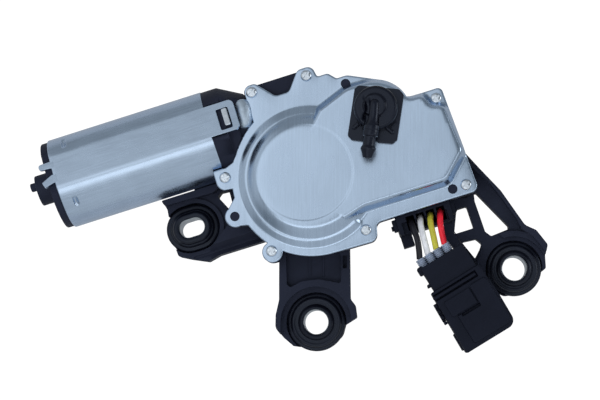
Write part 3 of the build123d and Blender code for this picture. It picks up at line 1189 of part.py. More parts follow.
with BuildPart() as plug_housing:
    with BuildSketch(plug_plane(PLUG_Z - PLUG_T / 2 + 1)):
        add(outline((0, -11, 1), (15, -11, 0), (15, 11.2, 0), (0, 11.2, 1)))
    extrude(amount=PLUG_T - 2)
    with BuildSketch(plug_plane(PLUG_Z - PLUG_T / 2)):
        add(outline((12, -12.8, 0.5), (PLUG_LENGTH, -13.4, 1), (PLUG_LENGTH, 12.8, 4), (28, 13.2, 2),
                    (12, 12.2, 1)))
    extrude(amount=PLUG_T)
    # groove for the lock slide, raised latch cover with its bent slot, side steps
    with BuildSketch(plug_plane(PLUG_Z + PLUG_T / 2)):
        add(outline((13.4, -13.6, 0), (16.4, -13.6, 0), (16.4, 9.4, 0), (13.4, 9.4, 0)))
    extrude(amount=-3.0, mode=Mode.SUBTRACT)
    with BuildSketch(plug_plane(PLUG_Z + PLUG_T / 2)):
        add(outline((18, 3.5, 1), (PLUG_LENGTH - 2, 3.5, 1), (PLUG_LENGTH - 2, 12.0, 3), (18, 12.0, 2)))
        add(outline((27, -8.0, 0.5), (PLUG_LENGTH - 2, -8.0, 1), (PLUG_LENGTH - 2, 5, 0), (27, 5, 0)))
    extrude(amount=1.2)
    with BuildSketch(plug_plane(PLUG_Z + PLUG_T / 2 + 1.2)):
        add(outline((27, -6.0, 0), (28.2, -6.0, 0), (28.2, 3.4, 0), (27, 3.4, 0)))
    extrude(amount=-2.4, mode=Mode.SUBTRACT)
    with BuildSketch(plug_plane(PLUG_Z - 2)):
        add(outline((17, -14.6, 0.3), (26, -14.9, 0.3), (26, -12.0, 0), (17, -12.0, 0)))
    extrude(amount=4)
    # mouth of the plug and the passages for the seals
    with BuildSketch(plug_face(PLUG_LENGTH)):
        RectangleRounded(MOUTH_W, MOUTH_H, 1.0)
    extrude(amount=MOUTH_DEEP, mode=Mode.SUBTRACT)
    with BuildSketch(plug_face(0)):
        with Locations(*[(v, 0) for v in WIRE_SEATS]):
            Circle(SEAL_R)
    extrude(amount=-SEAL_IN, mode=Mode.SUBTRACT)
    with BuildSketch(plug_face(PLUG_LENGTH - MOUTH_DEEP)):
        with Locations(*[(v * TAB_SPREAD + TAB_SHIFT, 0) for v in WIRE_SEATS]):
            Rectangle(TAB_W, TAB_T)
    extrude(amount=4, mode=Mode.SUBTRACT)
save(plug_housing, "plug_housing")
print("plug", plug_housing.part.is_valid, len(plug_housing.part.solids()))

with BuildPart() as plug_lock:
    with BuildSketch(plug_plane(PLUG_Z + PLUG_T / 2 - 3.0)):
        add(outline((13.4, -13.6, 0.3), (16.4, -13.6, 0.3), (16.4, 9.4, 0), (13.4, 9.4, 0)))
    extrude(amount=2.2)
save(plug_lock, "plug_lock")

with BuildPart() as plug_terminals:
    with BuildSketch(plug_face(PLUG_LENGTH - MOUTH_DEEP - 4)):
        with Locations(*[(v * TAB_SPREAD + TAB_SHIFT, 0) for v in WIRE_SEATS]):
            Rectangle(TAB_W, TAB_T)
    extrude(amount=-4 - TAB_OUT)
save(plug_terminals, "plug_terminals")

with BuildPart() as wire_seals:
    with BuildSketch(plug_face(-SEAL_OUT)):
        with Locations(*[(v, 0) for v in WIRE_SEATS]):
            Circle(SEAL_R)
    extrude(amount=-SEAL_OUT - SEAL_IN)
save(wire_seals, "wire_seals")
print("seals", wire_seals.part.is_valid, len(wire_seals.part.solids()))


# ---------------------------------------------------------------- wires
def wire(cell, seat, bow, middle, crest):
    """A wire from a cell of the socket to a seal of the plug, as straight runs joined by tangent arcs."""
    end = plug_point(-SEAL_OUT, seat)
    points = [
        Vector(cell, -50.6, 13.9), Vector(cell, -50.3, 20.0), Vector(cell, -51.2, 26.6),
        Vector(cell + bow, -54.9, 32.0), Vector(middle, (end[1] - 54.9) / 2, crest), Vector(*end, PLUG_Z)]
    radii = []
    for before, corner, after in zip(points, points[1:], points[2:]):
        turn = (corner - before).get_angle(after - corner)
        run = min((corner - before).length, (after - corner).length)
        radii.append(0.45 * run / math.tan(math.radians(turn / 2)))
    with BuildPart() as tube:
        with BuildLine() as route:
            FilletPolyline(points, radius=radii)
        with BuildSketch(Plane(origin=route.line @ 0, z_dir=route.line % 0)):
            Circle(WIRE_R)
        sweep()
    length = sum(edge.length for edge in route.edges())
    share = tube.part.volume / (math.pi * WIRE_R**2 * length)
    print(f"wire radii {[round(r, 1) for r in radii]}, length {length:.1f}, volume / section x length {share:.4f}")
    return tube


save(wire(WIRE_CELLS[0], WIRE_SEATS[0], 0.0, 0.6, 34.6), "wire_black")
save(wire(WIRE_CELLS[1], WIRE_SEATS[1], -1.2, 3.3, 34.6), "wire_white")
save(wire(WIRE_CELLS[2], WIRE_SEATS[2], -1.4, 7.9, 34.4), "wire_yellow")
save(wire(WIRE_CELLS[3], WIRE_SEATS[3], -1.6, 11.8, 34.0), "wire_red")
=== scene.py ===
import json
import math

import bmesh
import bpy
import numpy as np
from bpy.props import FloatProperty, FloatVectorProperty, IntProperty, PointerProperty
from mathutils import Matrix, Vector
from mathutils.geometry import delaunay_2d_cdt


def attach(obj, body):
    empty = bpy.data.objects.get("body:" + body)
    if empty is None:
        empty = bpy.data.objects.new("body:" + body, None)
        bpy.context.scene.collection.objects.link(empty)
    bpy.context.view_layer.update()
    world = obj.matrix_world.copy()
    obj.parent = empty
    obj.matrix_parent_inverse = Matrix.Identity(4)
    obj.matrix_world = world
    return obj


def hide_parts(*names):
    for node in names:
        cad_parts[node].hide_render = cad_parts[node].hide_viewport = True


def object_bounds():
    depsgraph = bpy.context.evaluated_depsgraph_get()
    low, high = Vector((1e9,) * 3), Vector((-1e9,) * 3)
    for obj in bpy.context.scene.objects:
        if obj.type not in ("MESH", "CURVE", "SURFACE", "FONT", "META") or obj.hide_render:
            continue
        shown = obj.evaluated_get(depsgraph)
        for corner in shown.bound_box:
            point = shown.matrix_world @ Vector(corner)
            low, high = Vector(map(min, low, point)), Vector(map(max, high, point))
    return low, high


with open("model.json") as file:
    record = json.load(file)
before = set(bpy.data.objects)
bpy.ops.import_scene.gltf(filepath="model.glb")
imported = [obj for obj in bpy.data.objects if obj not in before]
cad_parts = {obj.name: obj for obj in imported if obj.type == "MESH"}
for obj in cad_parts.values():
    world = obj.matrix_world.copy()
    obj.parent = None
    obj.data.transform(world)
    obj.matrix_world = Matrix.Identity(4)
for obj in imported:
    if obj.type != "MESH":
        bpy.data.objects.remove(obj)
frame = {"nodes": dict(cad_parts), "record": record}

bl_info = {
    "name": "Geared wiper motor",
    "version": (1, 0, 0),
    "blender": (4, 5, 0),
    "location": "3D View > Sidebar > Wiper motor",
    "description": "Dresses the solids of a geared wiper motor in sheet steel, moulded plastic, rubber and wiring",
    "category": "Object",
}

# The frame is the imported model's: origin on the output shaft in the plane of the mounting faces, +X from the
# motor's end cap to the gearbox, +Z from the mounting faces to the cover. Shapes are written in millimetres.
MM = 0.001
CAD_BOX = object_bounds()

# Motor can: its axis, radius, ends and wall, and its flat's tilt about the axis and distance from it
MOTOR = Vector((0, 14.8, 21.3))
CAN_R = 21.1
CAN_LEFT = -149.2
CAN_RIGHT = -74.5
CAN_WALL = 1.6
CAN_STEPS = 288
CRIMPS = [(-141.1, 30.6), (-142.7, 2.9)]
FLAT_TILT = 12.0
FLAT_DIST = 19.5
FLAT_BLEND = 0.12

# Cover: sheet, heights, centres of its ring and of its round step, screws, and the housing's pins that it sits on
SHEET = 1.2
FLANGE_TOP = 35.2
PLATEAU_TOP = 41.2
RING = Vector((-37.8, -18.6))
RING_R = 32.5
DISC_IN = 4.0
EMBOSS = Vector((-39.3, -16.5))
EMBOSS_R = 22.0
SCREWS = [(-51.5, 26.5), (-25.3, 26.2), (28.0, -1.9), (28.9, -43.7), (-74.7, -7.3), (-64.4, -45.8), (-20.6, -49.6)]
PINS = [(-9.2, 17.3), (-75.7, -25.6), (22.6, -43.7)]
PIN_HOLE_R = 2.2

# Stamped steps of the cover: (depth inside the step's outline, height)
PLATEAU = [
    (-34, 0, 0), (-24.8, 9.6, 3), (-9.5, 15.2, 12), (5.5, 14.5, 19), (13.8, 7.0, 6), (16.5, 1.9, 3),
    (22.8, 1.6, 4), (25.2, -4.4, 3), (30.9, -6.2, 4.5), (33.0, -29.0, 5), (21.5, -40.4, 6),
    (-18, -40.4, 8), (-29, -43.4, 0), (-34, -36, 0)]
TERRACE_STEPS = [(-0.3, 35.2), (2.6, 37.1), (3.4, 37.4), (4.3, 37.4)]
TERRACE_END = -21.3
DISC_STEPS = [(-2.0, 35.4), (0.0, 37.2), (2.7, 39.7), (3.9, 40.55), (5.4, 41.05), (7.4, 41.2)]
PLATEAU_STEPS = [(-1.3, 35.2), (-0.9, 35.6), (0.7, 40.3), (1.6, 41.2)]
# Widths over which the terrace's end and the steps' meeting lines are rounded, the round step's drop and how much
# more it drops at the lower right, and the widths and heights of the rounded rim and of the sheet's droop at it
END_EASE = 0.7
STEP_EASE = 0.12
EMBOSS_DROP = 0.13
EMBOSS_TILT = 0.12
RIM, RIM_DROP = 0.45, 0.25
DROOP, DROOP_DROP = 5.5, 0.2

# Arms: centres of their eyes, and each grommet's outer lip, groove, sleeve, opening and half its slot's length
EYES = {"left": (-97.6, -22.6), "lower": (-55.4, -82.0), "right": (39.7, -85.9)}
GROMMETS = {
    "left": (10.7, 8.0, 5.55, 4.35, 1.85),
    "lower": (13.5, 9.8, 7.2, 5.9, 0.0),
    "right": (12.7, 9.8, 7.2, 5.9, 0.0),
}

# Washer elbow: the cap's centre, its crown's radius and height, the boss on it, and the pipe's start, heading and
# height
CAP_AT = (0.2, 0.9)
CROWN_R, CROWN_Z = 9.25, 49.75
BOSS_R, BOSS_HIGH = 5.1, 1.35
PIPE_START = (-0.393, 3.426)
PIPE_HEADING = 247.0
PIPE_Z = 50.6

# Plug: its heading, the middle of its back and its height, and the leads' seats in it and cells in the socket
PLUG_HEADING = 284.0
PLUG_BACK = (8.2, -71.2)
PLUG_Z = 33.0
WIRE_SEATS = [-8.8, -4.4, 0.0, 4.4]
WIRE_CELLS = [0.2, 5.0, 9.8, 14.6]
# Each lead: its number, its bow near the socket, and its crest's place along X and height
LEADS = {"black": (0, 0.0, 0.6, 34.6), "white": (1, -1.2, 3.3, 34.6), "yellow": (2, -1.4, 7.9, 34.4),
         "red": (3, -1.6, 11.8, 34.0)}

# Output shaft: ends of its thread and of its cone, the thread's pitch and depth, and the step below its journal
SHAFT_LOW = -48.0
CONE_LOW = -38.0
CONE_HIGH = -31.5
PITCH = 1.25
THREAD_DEEP = 0.62
KNURL_DEEP = 0.32
SHAFT_STEP = 31.0

# Studio: the camera's place in metres, its backward direction and its roll in degrees, the floor's corners in
# metres, how white the paper looks to the camera and in gloss and the colour that it is lit by, the soft boxes
# (direction, inner and outer half angle in degrees, strength), the room's level and colour, and the key band
VIEW_FROM = (-0.02618, -0.10884)
VIEW_BACK = (0.02219, -0.09560, 0.99517)
VIEW_ROLL = 17.4
FLOOR = [(-0.36, -0.34), (0.26, -0.34), (0.26, 0.28), (-0.36, 0.28)]
FLOOR_GAP = 0.0002
PAPER_SEEN, PAPER_IN_GLOSS, PAPER_WHITE = 0.95, 0.2, 1.12
PAPER_GREY = (0.32, 0.34, 0.37, 1)
SOFT_BOXES = [
    ((-0.22, 0.18, 0.95), 8, 30, 0.78),
    ((0.0, -0.9, 0.4), 20, 70, 0.36),
    ((0.97, -0.15, 0.25), 4, 20, 2.6),
    ((0.0, 0.95, 0.3), 20, 60, 0.12),
    ((-0.85, 0.45, 0.35), 15, 50, 0.36),
]
ROOM_LEVEL = 0.22
ROOM_BLUE = (0.86, 0.95, 1.0, 1)
BOX_WHITE = (1.0, 0.99, 0.97, 1)
KEY_TILT = 22.5
KEY_EDGE = 0.2
KEY_STRENGTH = 1.15


# ---------------------------------------------------------------- plane figures
def along(angle, distance, start=(0.0, 0.0)):
    """The point at a distance from start, in the direction of an angle in degrees."""
    turn = math.radians(angle)
    return (start[0] + distance * math.cos(turn), start[1] + distance * math.sin(turn))


def ring_points(centre, radius, count):
    """Points round a circle, counter-clockwise."""
    return [along(360 * k / count, radius, centre) for k in range(count)]


def rounded(corners, step=12.0):
    """Points of a closed outline through (x, y, corner radius) corners."""
    points = []
    for k, (x, y, radius) in enumerate(corners):
        here = Vector((x, y))
        back = (Vector(corners[k - 1][:2]) - here).normalized()
        on = (Vector(corners[(k + 1) % len(corners)][:2]) - here).normalized()
        opening = back.angle(on)
        if radius <= 0 or opening > math.radians(177):
            points.append((x, y))
            continue
        centre = here + (back + on).normalized() * (radius / math.sin(opening / 2))
        first = here + back * (radius / math.tan(opening / 2)) - centre
        last = here + on * (radius / math.tan(opening / 2)) - centre
        start = math.atan2(first.y, first.x)
        turn = (math.atan2(last.y, last.x) - start + math.pi) % (2 * math.pi) - math.pi
        count = max(2, math.ceil(abs(math.degrees(turn)) / step))
        for i in range(count + 1):
            angle = start + turn * i / count
            points.append((centre.x + radius * math.cos(angle), centre.y + radius * math.sin(angle)))
    return points


def spaced(loop, step):
    """The same closed loop with no side longer than step."""
    points = []
    for k, here in enumerate(loop):
        after = loop[(k + 1) % len(loop)]
        count = max(1, math.ceil(math.dist(here, after) / step))
        points += [(here[0] + (after[0] - here[0]) * i / count, here[1] + (after[1] - here[1]) * i / count)
                   for i in range(count)]
    return points


def depth_inside(points, loop):
    """How deep each point lies inside a closed loop, and minus how far outside."""
    p = np.asarray(points, float)
    a = np.asarray(loop, float)
    b = np.roll(a, -1, axis=0)
    best = np.full(len(p), 1e9)
    inside = np.zeros(len(p), bool)
    for (ax, ay), (bx, by) in zip(a, b):
        dx, dy = bx - ax, by - ay
        length = dx * dx + dy * dy
        if length < 1e-12:
            continue
        t = np.clip(((p[:, 0] - ax) * dx + (p[:, 1] - ay) * dy) / length, 0, 1)
        best = np.minimum(best, np.hypot(p[:, 0] - ax - t * dx, p[:, 1] - ay - t * dy))
        if abs(dy) > 1e-12:
            crosses = ((ay > p[:, 1]) != (by > p[:, 1])) & (p[:, 0] < dx * (p[:, 1] - ay) / dy + ax)
            inside ^= crosses
    return np.where(inside, best, -best)


# ---------------------------------------------------------------- solids
def filled(outer, holes=(), inner=()):
    """Points and triangles over the plane inside a loop and outside its holes, through more points inside."""
    flat, edges = [], []
    for loop in (outer, *holes):
        first = len(flat)
        flat += loop
        edges += [(first + i, first + (i + 1) % len(loop)) for i in range(len(loop))]
    points, _, triangles, _, _, _ = delaunay_2d_cdt([Vector(p) for p in flat + list(inner)], edges, [], 0, 1e-6)
    middles = [(sum(points[i].x for i in t) / 3, sum(points[i].y for i in t) / 3) for t in triangles]
    keep = depth_inside(middles, outer) > 0
    for hole in holes:
        keep &= depth_inside(middles, hole) < 0
    return points, [t for t, kept in zip(triangles, keep) if kept]


def plate(points, tops, bottoms, triangles):
    """A closed plate over triangles in the plane, from the heights of its upper and lower faces."""
    made = bmesh.new()
    top = [made.verts.new((p.x, p.y, z)) for p, z in zip(points, tops)]
    bottom = [made.verts.new((p.x, p.y, z)) for p, z in zip(points, bottoms)]
    twin = dict(zip(top, bottom))
    for t in triangles:
        made.faces.new([top[i] for i in t])
        made.faces.new([bottom[i] for i in reversed(t)])
    for edge in [e for e in made.edges if len(e.link_faces) == 1 and e.verts[0] in twin]:
        a, b = edge.verts
        made.faces.new([a, b, twin[b], twin[a]])
    bmesh.ops.delete(made, geom=[v for v in made.verts if not v.link_faces], context="VERTS")
    return made


def slab(outer, low, high, holes=(), place=None):
    """A flat plate between two heights with holes through it."""
    points, triangles = filled(outer, holes)
    made = plate(points, [high] * len(points), [low] * len(points), triangles)
    bmesh.ops.dissolve_limit(made, angle_limit=math.radians(0.5), verts=made.verts, edges=made.edges)
    bmesh.ops.recalc_face_normals(made, faces=made.faces)
    if place is not None:
        made.transform(place)
    return made


def turned(profile, origin=(0, 0, 0), axis=(0, 0, 1), steps=48):
    """A turned form: (along the axis, radius) points revolved; a radius of 0 closes it at a pole."""
    axis = Vector(axis).normalized()
    side = axis.orthogonal().normalized()
    other = axis.cross(side)
    origin = Vector(origin)
    made = bmesh.new()
    rows = []
    for distance, radius in profile:
        centre = origin + axis * distance
        if radius <= 1e-9:
            rows.append([made.verts.new(centre)])
        else:
            rows.append([made.verts.new(centre + (side * math.cos(a) + other * math.sin(a)) * radius)
                         for a in (2 * math.pi * k / steps for k in range(steps))])
    closed = len(rows[0]) > 1 and len(rows[-1]) > 1
    pairs = list(zip(rows, rows[1:])) + ([(rows[-1], rows[0])] if closed else [])
    for low, high in pairs:
        for k in range(steps):
            n = (k + 1) % steps
            if len(low) == 1 and len(high) == 1:
                continue
            if len(low) == 1:
                made.faces.new([low[0], high[n], high[k]])
            elif len(high) == 1:
                made.faces.new([low[k], low[n], high[0]])
            else:
                made.faces.new([low[k], low[n], high[n], high[k]])
    bmesh.ops.recalc_face_normals(made, faces=made.faces)
    return made


def block(centre, size, turn=0.0):
    """A box in millimetres, turned about Z by degrees."""
    made = bmesh.new()
    bmesh.ops.create_cube(made, size=1.0)
    made.transform(Matrix.Translation(Vector(centre)) @ Matrix.Rotation(math.radians(turn), 4, "Z")
                   @ Matrix.Diagonal((*size, 1)))
    return made


def from_node(node):
    """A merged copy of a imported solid, in millimetres, with its flat faces whole again."""
    made = bmesh.new()
    made.from_mesh(frame["nodes"][node].data)
    bmesh.ops.remove_doubles(made, verts=made.verts, dist=3e-6)
    made.transform(Matrix.Scale(1 / MM, 4))
    bmesh.ops.dissolve_limit(made, angle_limit=math.radians(0.8), verts=made.verts, edges=made.edges)
    return made


def softened(made, width, segments=2, angle=30.0):
    """Rounds the edges that are sharper than an angle."""
    sharp = [e for e in made.edges if len(e.link_faces) == 2 and e.calc_face_angle(0) > math.radians(angle)]
    if sharp and width > 0:
        bmesh.ops.bevel(made, geom=sharp, offset=width, offset_type="OFFSET", segments=segments, profile=0.5,
                        affect="EDGES", clamp_overlap=False)
    return made


def flat_frame(distance):
    """A frame on a plane parallel to the can's flat: X along the motor, Z out of the flat."""
    tilt = math.radians(FLAT_TILT)
    out = Vector((0, math.sin(tilt), math.cos(tilt)))
    across = out.cross(Vector((1, 0, 0)))
    turn = Matrix((Vector((1, 0, 0)), across, out)).transposed().to_4x4()
    return Matrix.Translation(MOTOR + out * distance) @ turn


# ---------------------------------------------------------------- pieces
def piece(name, parts, finish, body="gearbox", stands_for=(), sharp=38.0, even=True):
    """Joins forms in millimetres into one mesh at the origin, finishes it and puts it on its body."""
    mesh = bpy.data.meshes.new(name)
    whole = bmesh.new()
    for part in parts:
        loose = bpy.data.meshes.new("loose")
        part.to_mesh(loose)
        whole.from_mesh(loose)
        bpy.data.meshes.remove(loose)
        part.free()
    whole.transform(Matrix.Scale(MM, 4))
    whole.to_mesh(mesh)
    whole.free()
    mesh.shade_smooth()
    mesh.set_sharp_from_angle(angle=math.radians(sharp))
    mesh.materials.append(finish)
    made = bpy.data.objects.new(name, mesh)
    bpy.context.scene.collection.objects.link(made)
    if even:
        modifier = made.modifiers.new("Even normals", "WEIGHTED_NORMAL")
        modifier.keep_sharp = True
        modifier.weight = 60
        made = plain(made)
    return seated(made, body, stands_for)


def plain(made):
    """The object with its modifiers turned into a plain mesh."""
    bpy.context.view_layer.update()
    evaluated = made.evaluated_get(bpy.context.evaluated_depsgraph_get())
    mesh = bpy.data.meshes.new_from_object(evaluated, preserve_all_data_layers=True,
                                           depsgraph=bpy.context.evaluated_depsgraph_get())
    made.modifiers.clear()
    old = made.data
    made.data = mesh
    if old.users == 0:
        bpy.data.meshes.remove(old)
    mesh.name = made.name
    return made


def seated(made, body, stands_for):
    """Puts a finished piece on its body and hides the solids that it stands for."""
    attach(made, body)
    if stands_for:
        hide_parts(*stands_for)
    return made


class Wiring:
    """A node tree and a short way to wire it."""

    def __init__(self, tree):
        self.tree = tree

    def put(self, kind, **settings):
        """A new node, with its settings and the values of its inputs."""
        node = self.tree.nodes.new(kind)
        for key, value in settings.items():
            if key in node.inputs:
                node.inputs[key].default_value = value
            else:
                setattr(node, key, value)
        return node

    def link(self, a, b):
        """Joins an output to an input."""
        self.tree.links.new(a, b)

    def worked(self, operation, *values):
        """The result of a sum over numbers and outputs of other nodes."""
        node = self.put("ShaderNodeMath", operation=operation)
        for socket, value in zip(node.inputs, values):
            if isinstance(value, (int, float)):
                socket.default_value = value
            else:
                self.link(value, socket)
        return node.outputs[0]

    def between(self, value, low, high, start=0.0, end=1.0, curve="LINEAR"):
        """Maps a value's range to another."""
        node = self.put("ShaderNodeMapRange", interpolation_type=curve)
        for socket, number in zip(("From Min", "From Max", "To Min", "To Max"), (start, end, low, high)):
            node.inputs[socket].default_value = number
        self.link(value, node.inputs["Value"])
        return node.outputs["Result"]

    def mixed(self, share, first, second):
        """Two shaders mixed by the second's share."""
        node = self.put("ShaderNodeMixShader")
        for output, socket in zip((share, first, second), node.inputs):
            self.link(output, socket)
        return node.outputs[0]


def repeat_tree():
    """Geometry Nodes that set one piece on every point of a mesh, turned and sized by its inputs."""
    tree = bpy.data.node_groups.get("Repeat on points")
    if tree:
        return tree
    tree = bpy.data.node_groups.new("Repeat on points", "GeometryNodeTree")
    for name, kind, value in (("Geometry", "Geometry", None), ("Piece", "Object", None), ("Size", "Float", 1.0),
                              ("Turn spread", "Float", 0.0), ("Seed", "Int", 1), ("Finish", "Material", None)):
        socket = tree.interface.new_socket(name, in_out="INPUT", socket_type="NodeSocket" + kind)
        if value is not None:
            socket.default_value = value
    tree.interface.new_socket("Geometry", in_out="OUTPUT", socket_type="NodeSocketGeometry")
    w = Wiring(tree)
    given = w.put("NodeGroupInput").outputs
    info = w.put("GeometryNodeObjectInfo")
    stored = w.put("GeometryNodeInputNamedAttribute", data_type="FLOAT_VECTOR", Name="turn")
    chance = w.put("FunctionNodeRandomValue", data_type="FLOAT")
    spin, total = w.put("ShaderNodeCombineXYZ"), w.put("ShaderNodeVectorMath")
    instance, realize = w.put("GeometryNodeInstanceOnPoints"), w.put("GeometryNodeRealizeInstances")
    paint = w.put("GeometryNodeSetMaterial")
    for output, socket in (
            (given["Piece"], info.inputs["Object"]),
            (w.worked("MULTIPLY", given["Turn spread"], -1.0), chance.inputs[2]),
            (given["Turn spread"], chance.inputs[3]),
            (given["Seed"], chance.inputs["Seed"]),
            (chance.outputs[1], spin.inputs["Z"]),
            (stored.outputs["Attribute"], total.inputs[0]),
            (spin.outputs[0], total.inputs[1]),
            (given["Geometry"], instance.inputs["Points"]),
            (info.outputs["Geometry"], instance.inputs["Instance"]),
            (total.outputs[0], instance.inputs["Rotation"]),
            (given["Size"], instance.inputs["Scale"]),
            (instance.outputs[0], realize.inputs[0]),
            (realize.outputs[0], paint.inputs["Geometry"]),
            (given["Finish"], paint.inputs["Material"]),
            (paint.outputs[0], w.put("NodeGroupOutput").inputs[0])):
        w.link(output, socket)
    return tree


def repeated(name, sample, places, finish, stands_for, spread=0.0, seed=1):
    """Sets a sample form, in millimetres, on places: (point, turn in degrees about X, Y and Z)."""
    mould = piece(name + "_mould", [sample], finish, even=False)
    mould.parent = None
    points = bpy.data.meshes.new(name)
    points.from_pydata([[c * MM for c in point] for point, _ in places], [], [])
    turn = points.attributes.new("turn", "FLOAT_VECTOR", "POINT")
    turn.data.foreach_set("vector", [math.radians(a) for _, angles in places for a in angles])
    made = bpy.data.objects.new(name, points)
    bpy.context.scene.collection.objects.link(made)
    modifier = made.modifiers.new("Repeat", "NODES")
    modifier.node_group = repeat_tree()
    sockets = {s.name: s.identifier for s in modifier.node_group.interface.items_tree if s.in_out == "INPUT"}
    for socket, value in (("Piece", mould), ("Size", 1.0), ("Turn spread", math.radians(spread)), ("Seed", seed),
                          ("Finish", finish)):
        modifier[sockets[socket]] = value
    made = plain(made)
    mesh = mould.data
    bpy.data.objects.remove(mould)
    bpy.data.meshes.remove(mesh)
    return seated(made, "gearbox", stands_for)


# ---------------------------------------------------------------- finishes
class Board(Wiring):
    """A material whose one shader is wired over Object coordinates."""

    def __init__(self, name):
        self.material = bpy.data.materials.new(name)
        self.material.use_nodes = True
        super().__init__(self.material.node_tree)
        self.shader = self.tree.nodes["Principled BSDF"]
        self.where = self.put("ShaderNodeTexCoord").outputs["Object"]

    def stretched(self, scale, turn=0.0):
        """Object coordinates turned back about Z by degrees, then stretched by three factors."""
        turned_back = self.put("ShaderNodeMapping", Rotation=(0, 0, math.radians(-turn)))
        mapping = self.put("ShaderNodeMapping", Scale=scale)
        self.link(self.where, turned_back.inputs["Vector"])
        self.link(turned_back.outputs[0], mapping.inputs["Vector"])
        return mapping.outputs[0]

    def noise(self, scale, detail=3.0, where=None):
        """A noise's value; scale is its number of cells in a metre."""
        node = self.put("ShaderNodeTexNoise", Scale=scale, Detail=detail)
        self.link(where or self.where, node.inputs["Vector"])
        return node.outputs["Fac"]

    def summed(self, a, b, share=0.5):
        """Two values added, the second by a share."""
        return self.worked("MULTIPLY_ADD", b, share, a)

    def coloured(self, value, colour, dark, light, start=0.0, end=1.0):
        """The base colour, from a darker to a lighter shade of a colour over a value's range."""
        node = self.put("ShaderNodeMix", data_type="RGBA")
        for socket, factor in ((6, dark), (7, light)):
            node.inputs[socket].default_value = (*[min(1.0, c * factor) for c in colour], 1)
        self.link(self.between(value, 0, 1, start, end), node.inputs[0])
        self.link(node.outputs[2], self.shader.inputs["Base Color"])

    def roughened(self, value, low, high, start=0.0, end=1.0):
        """The roughness, from low to high over a value's range."""
        self.link(self.between(value, low, high, start, end), self.shader.inputs["Roughness"])

    def bump(self, height, strength, depth, rounding=0.0):
        """Relief on the shader: strength from 0 to 1, depth and the rounding of the edges in metres."""
        node = self.put("ShaderNodeBump", Strength=strength, Distance=depth)
        self.link(height, node.inputs["Height"])
        if rounding:
            edge = self.put("ShaderNodeBevel", Radius=rounding, samples=6)
            self.link(edge.outputs[0], node.inputs["Normal"])
        self.link(node.outputs[0], self.shader.inputs["Normal"])

    def set(self, **values):
        """Fixed values for the shader's inputs."""
        for key, value in values.items():
            self.shader.inputs[key.replace("_", " ")].default_value = value


def once(name, build, *values):
    """The finish of that name, built when it is first asked for; the frame's own materials have other names."""
    return bpy.data.materials.get(name + "_finish") or build(name + "_finish", *values)


# The cool tint of the light that plastic and rubber throw back
SHEEN = (0.66, 0.78, 1.0, 1)


def zinc_sheet(name, colour, rough, streak_turn):
    """Galvanised sheet steel: fine rolling streaks, soft blotches, a fine grain and a few handling marks."""
    m = Board(name)
    m.set(Metallic=1.0, IOR=1.5)
    rolled = m.noise(1.0, 4, m.stretched((70, 1500, 70), streak_turn))
    blotch = m.noise(95, 3)
    cloud = m.noise(30, 2)
    grain = m.noise(3200, 2)
    marks = m.between(m.noise(1.0, 2, m.stretched((160, 2600, 160), streak_turn + 63)), 0, 1, 0.66, 0.74)
    tone = m.summed(m.summed(m.between(rolled, 0, 0.55, 0.3, 0.7), blotch, 0.9), grain, 0.3)
    m.coloured(m.summed(tone, cloud, 0.9), colour, 0.9, 1.09, 0.7, 1.6)
    m.roughened(m.summed(blotch, rolled, 0.6), rough - 0.05, rough + 0.06, 0.5, 1.1)
    relief = m.summed(m.summed(blotch, cloud, 3.0), rolled, 0.02)
    m.bump(m.summed(m.summed(relief, grain, 0.02), marks, 0.02), 1.0, 0.00006)
    return m.material


def moulding(name, colour, rough, grain_depth=0.00002, spec=0.17):
    """Moulded plastic with a fine eroded grain, flow streaks and duller patches."""
    m = Board(name)
    m.set(Metallic=0.0, IOR=1.5, Specular_IOR_Level=spec, Specular_Tint=SHEEN)
    grain = m.noise(2600, 3)
    cloud = m.noise(60, 3)
    flow = m.noise(1.0, 3, m.stretched((40, 220, 60), 30))
    m.coloured(m.summed(cloud, flow, 0.7), colour, 0.8, 1.25, 0.5, 1.2)
    m.roughened(m.summed(cloud, grain, 0.5), rough - 0.06, rough + 0.08, 0.4, 1.1)
    m.bump(m.summed(grain, cloud, 0.8), 0.4, grain_depth, bpy.context.scene.wiper_sizes.soften * MM)
    return m.material


def rubber_skin(name, colour, rough):
    """Moulded rubber: a smooth satin skin with faint dust and flow marks."""
    m = Board(name)
    m.set(Metallic=0.0, IOR=1.5, Specular_IOR_Level=0.42, Specular_Tint=SHEEN)
    fine = m.noise(1500, 2)
    cloud = m.noise(160, 4)
    m.coloured(cloud, colour, 0.75, 1.5, 0.35, 0.75)
    m.roughened(cloud, rough - 0.08, rough + 0.12, 0.3, 0.7)
    m.bump(m.summed(fine, cloud, 1.5), 0.3, 0.00003)
    return m.material


def bare_metal(name, colour, rough, turned_marks=0.0):
    """Bare or plated metal with fine scratches, or fine turning marks along an axis."""
    m = Board(name)
    m.set(Metallic=1.0, IOR=1.5)
    scratch = m.noise(1.0, 3, m.stretched((300, 2600, 1600), 20))
    cloud = m.noise(260, 3)
    m.coloured(cloud, colour, 0.86, 1.1, 0.35, 0.7)
    m.roughened(m.summed(scratch, cloud, 0.6), rough - 0.06, rough + 0.1, 0.4, 1.1)
    m.bump(m.summed(scratch, cloud, turned_marks), 0.3, 0.00001)
    return m.material


def insulation(name, colour):
    """A wire's extruded insulation: smooth, slightly uneven in colour, with a soft sheen."""
    m = Board(name)
    m.set(Metallic=0.0, IOR=1.5, Specular_IOR_Level=0.35)
    cloud = m.noise(350, 3)
    m.coloured(cloud, colour, 0.86, 1.08, 0.35, 0.7)
    m.roughened(cloud, 0.32, 0.46, 0.3, 0.7)
    m.bump(m.noise(900, 2), 0.25, 0.00002)
    return m.material


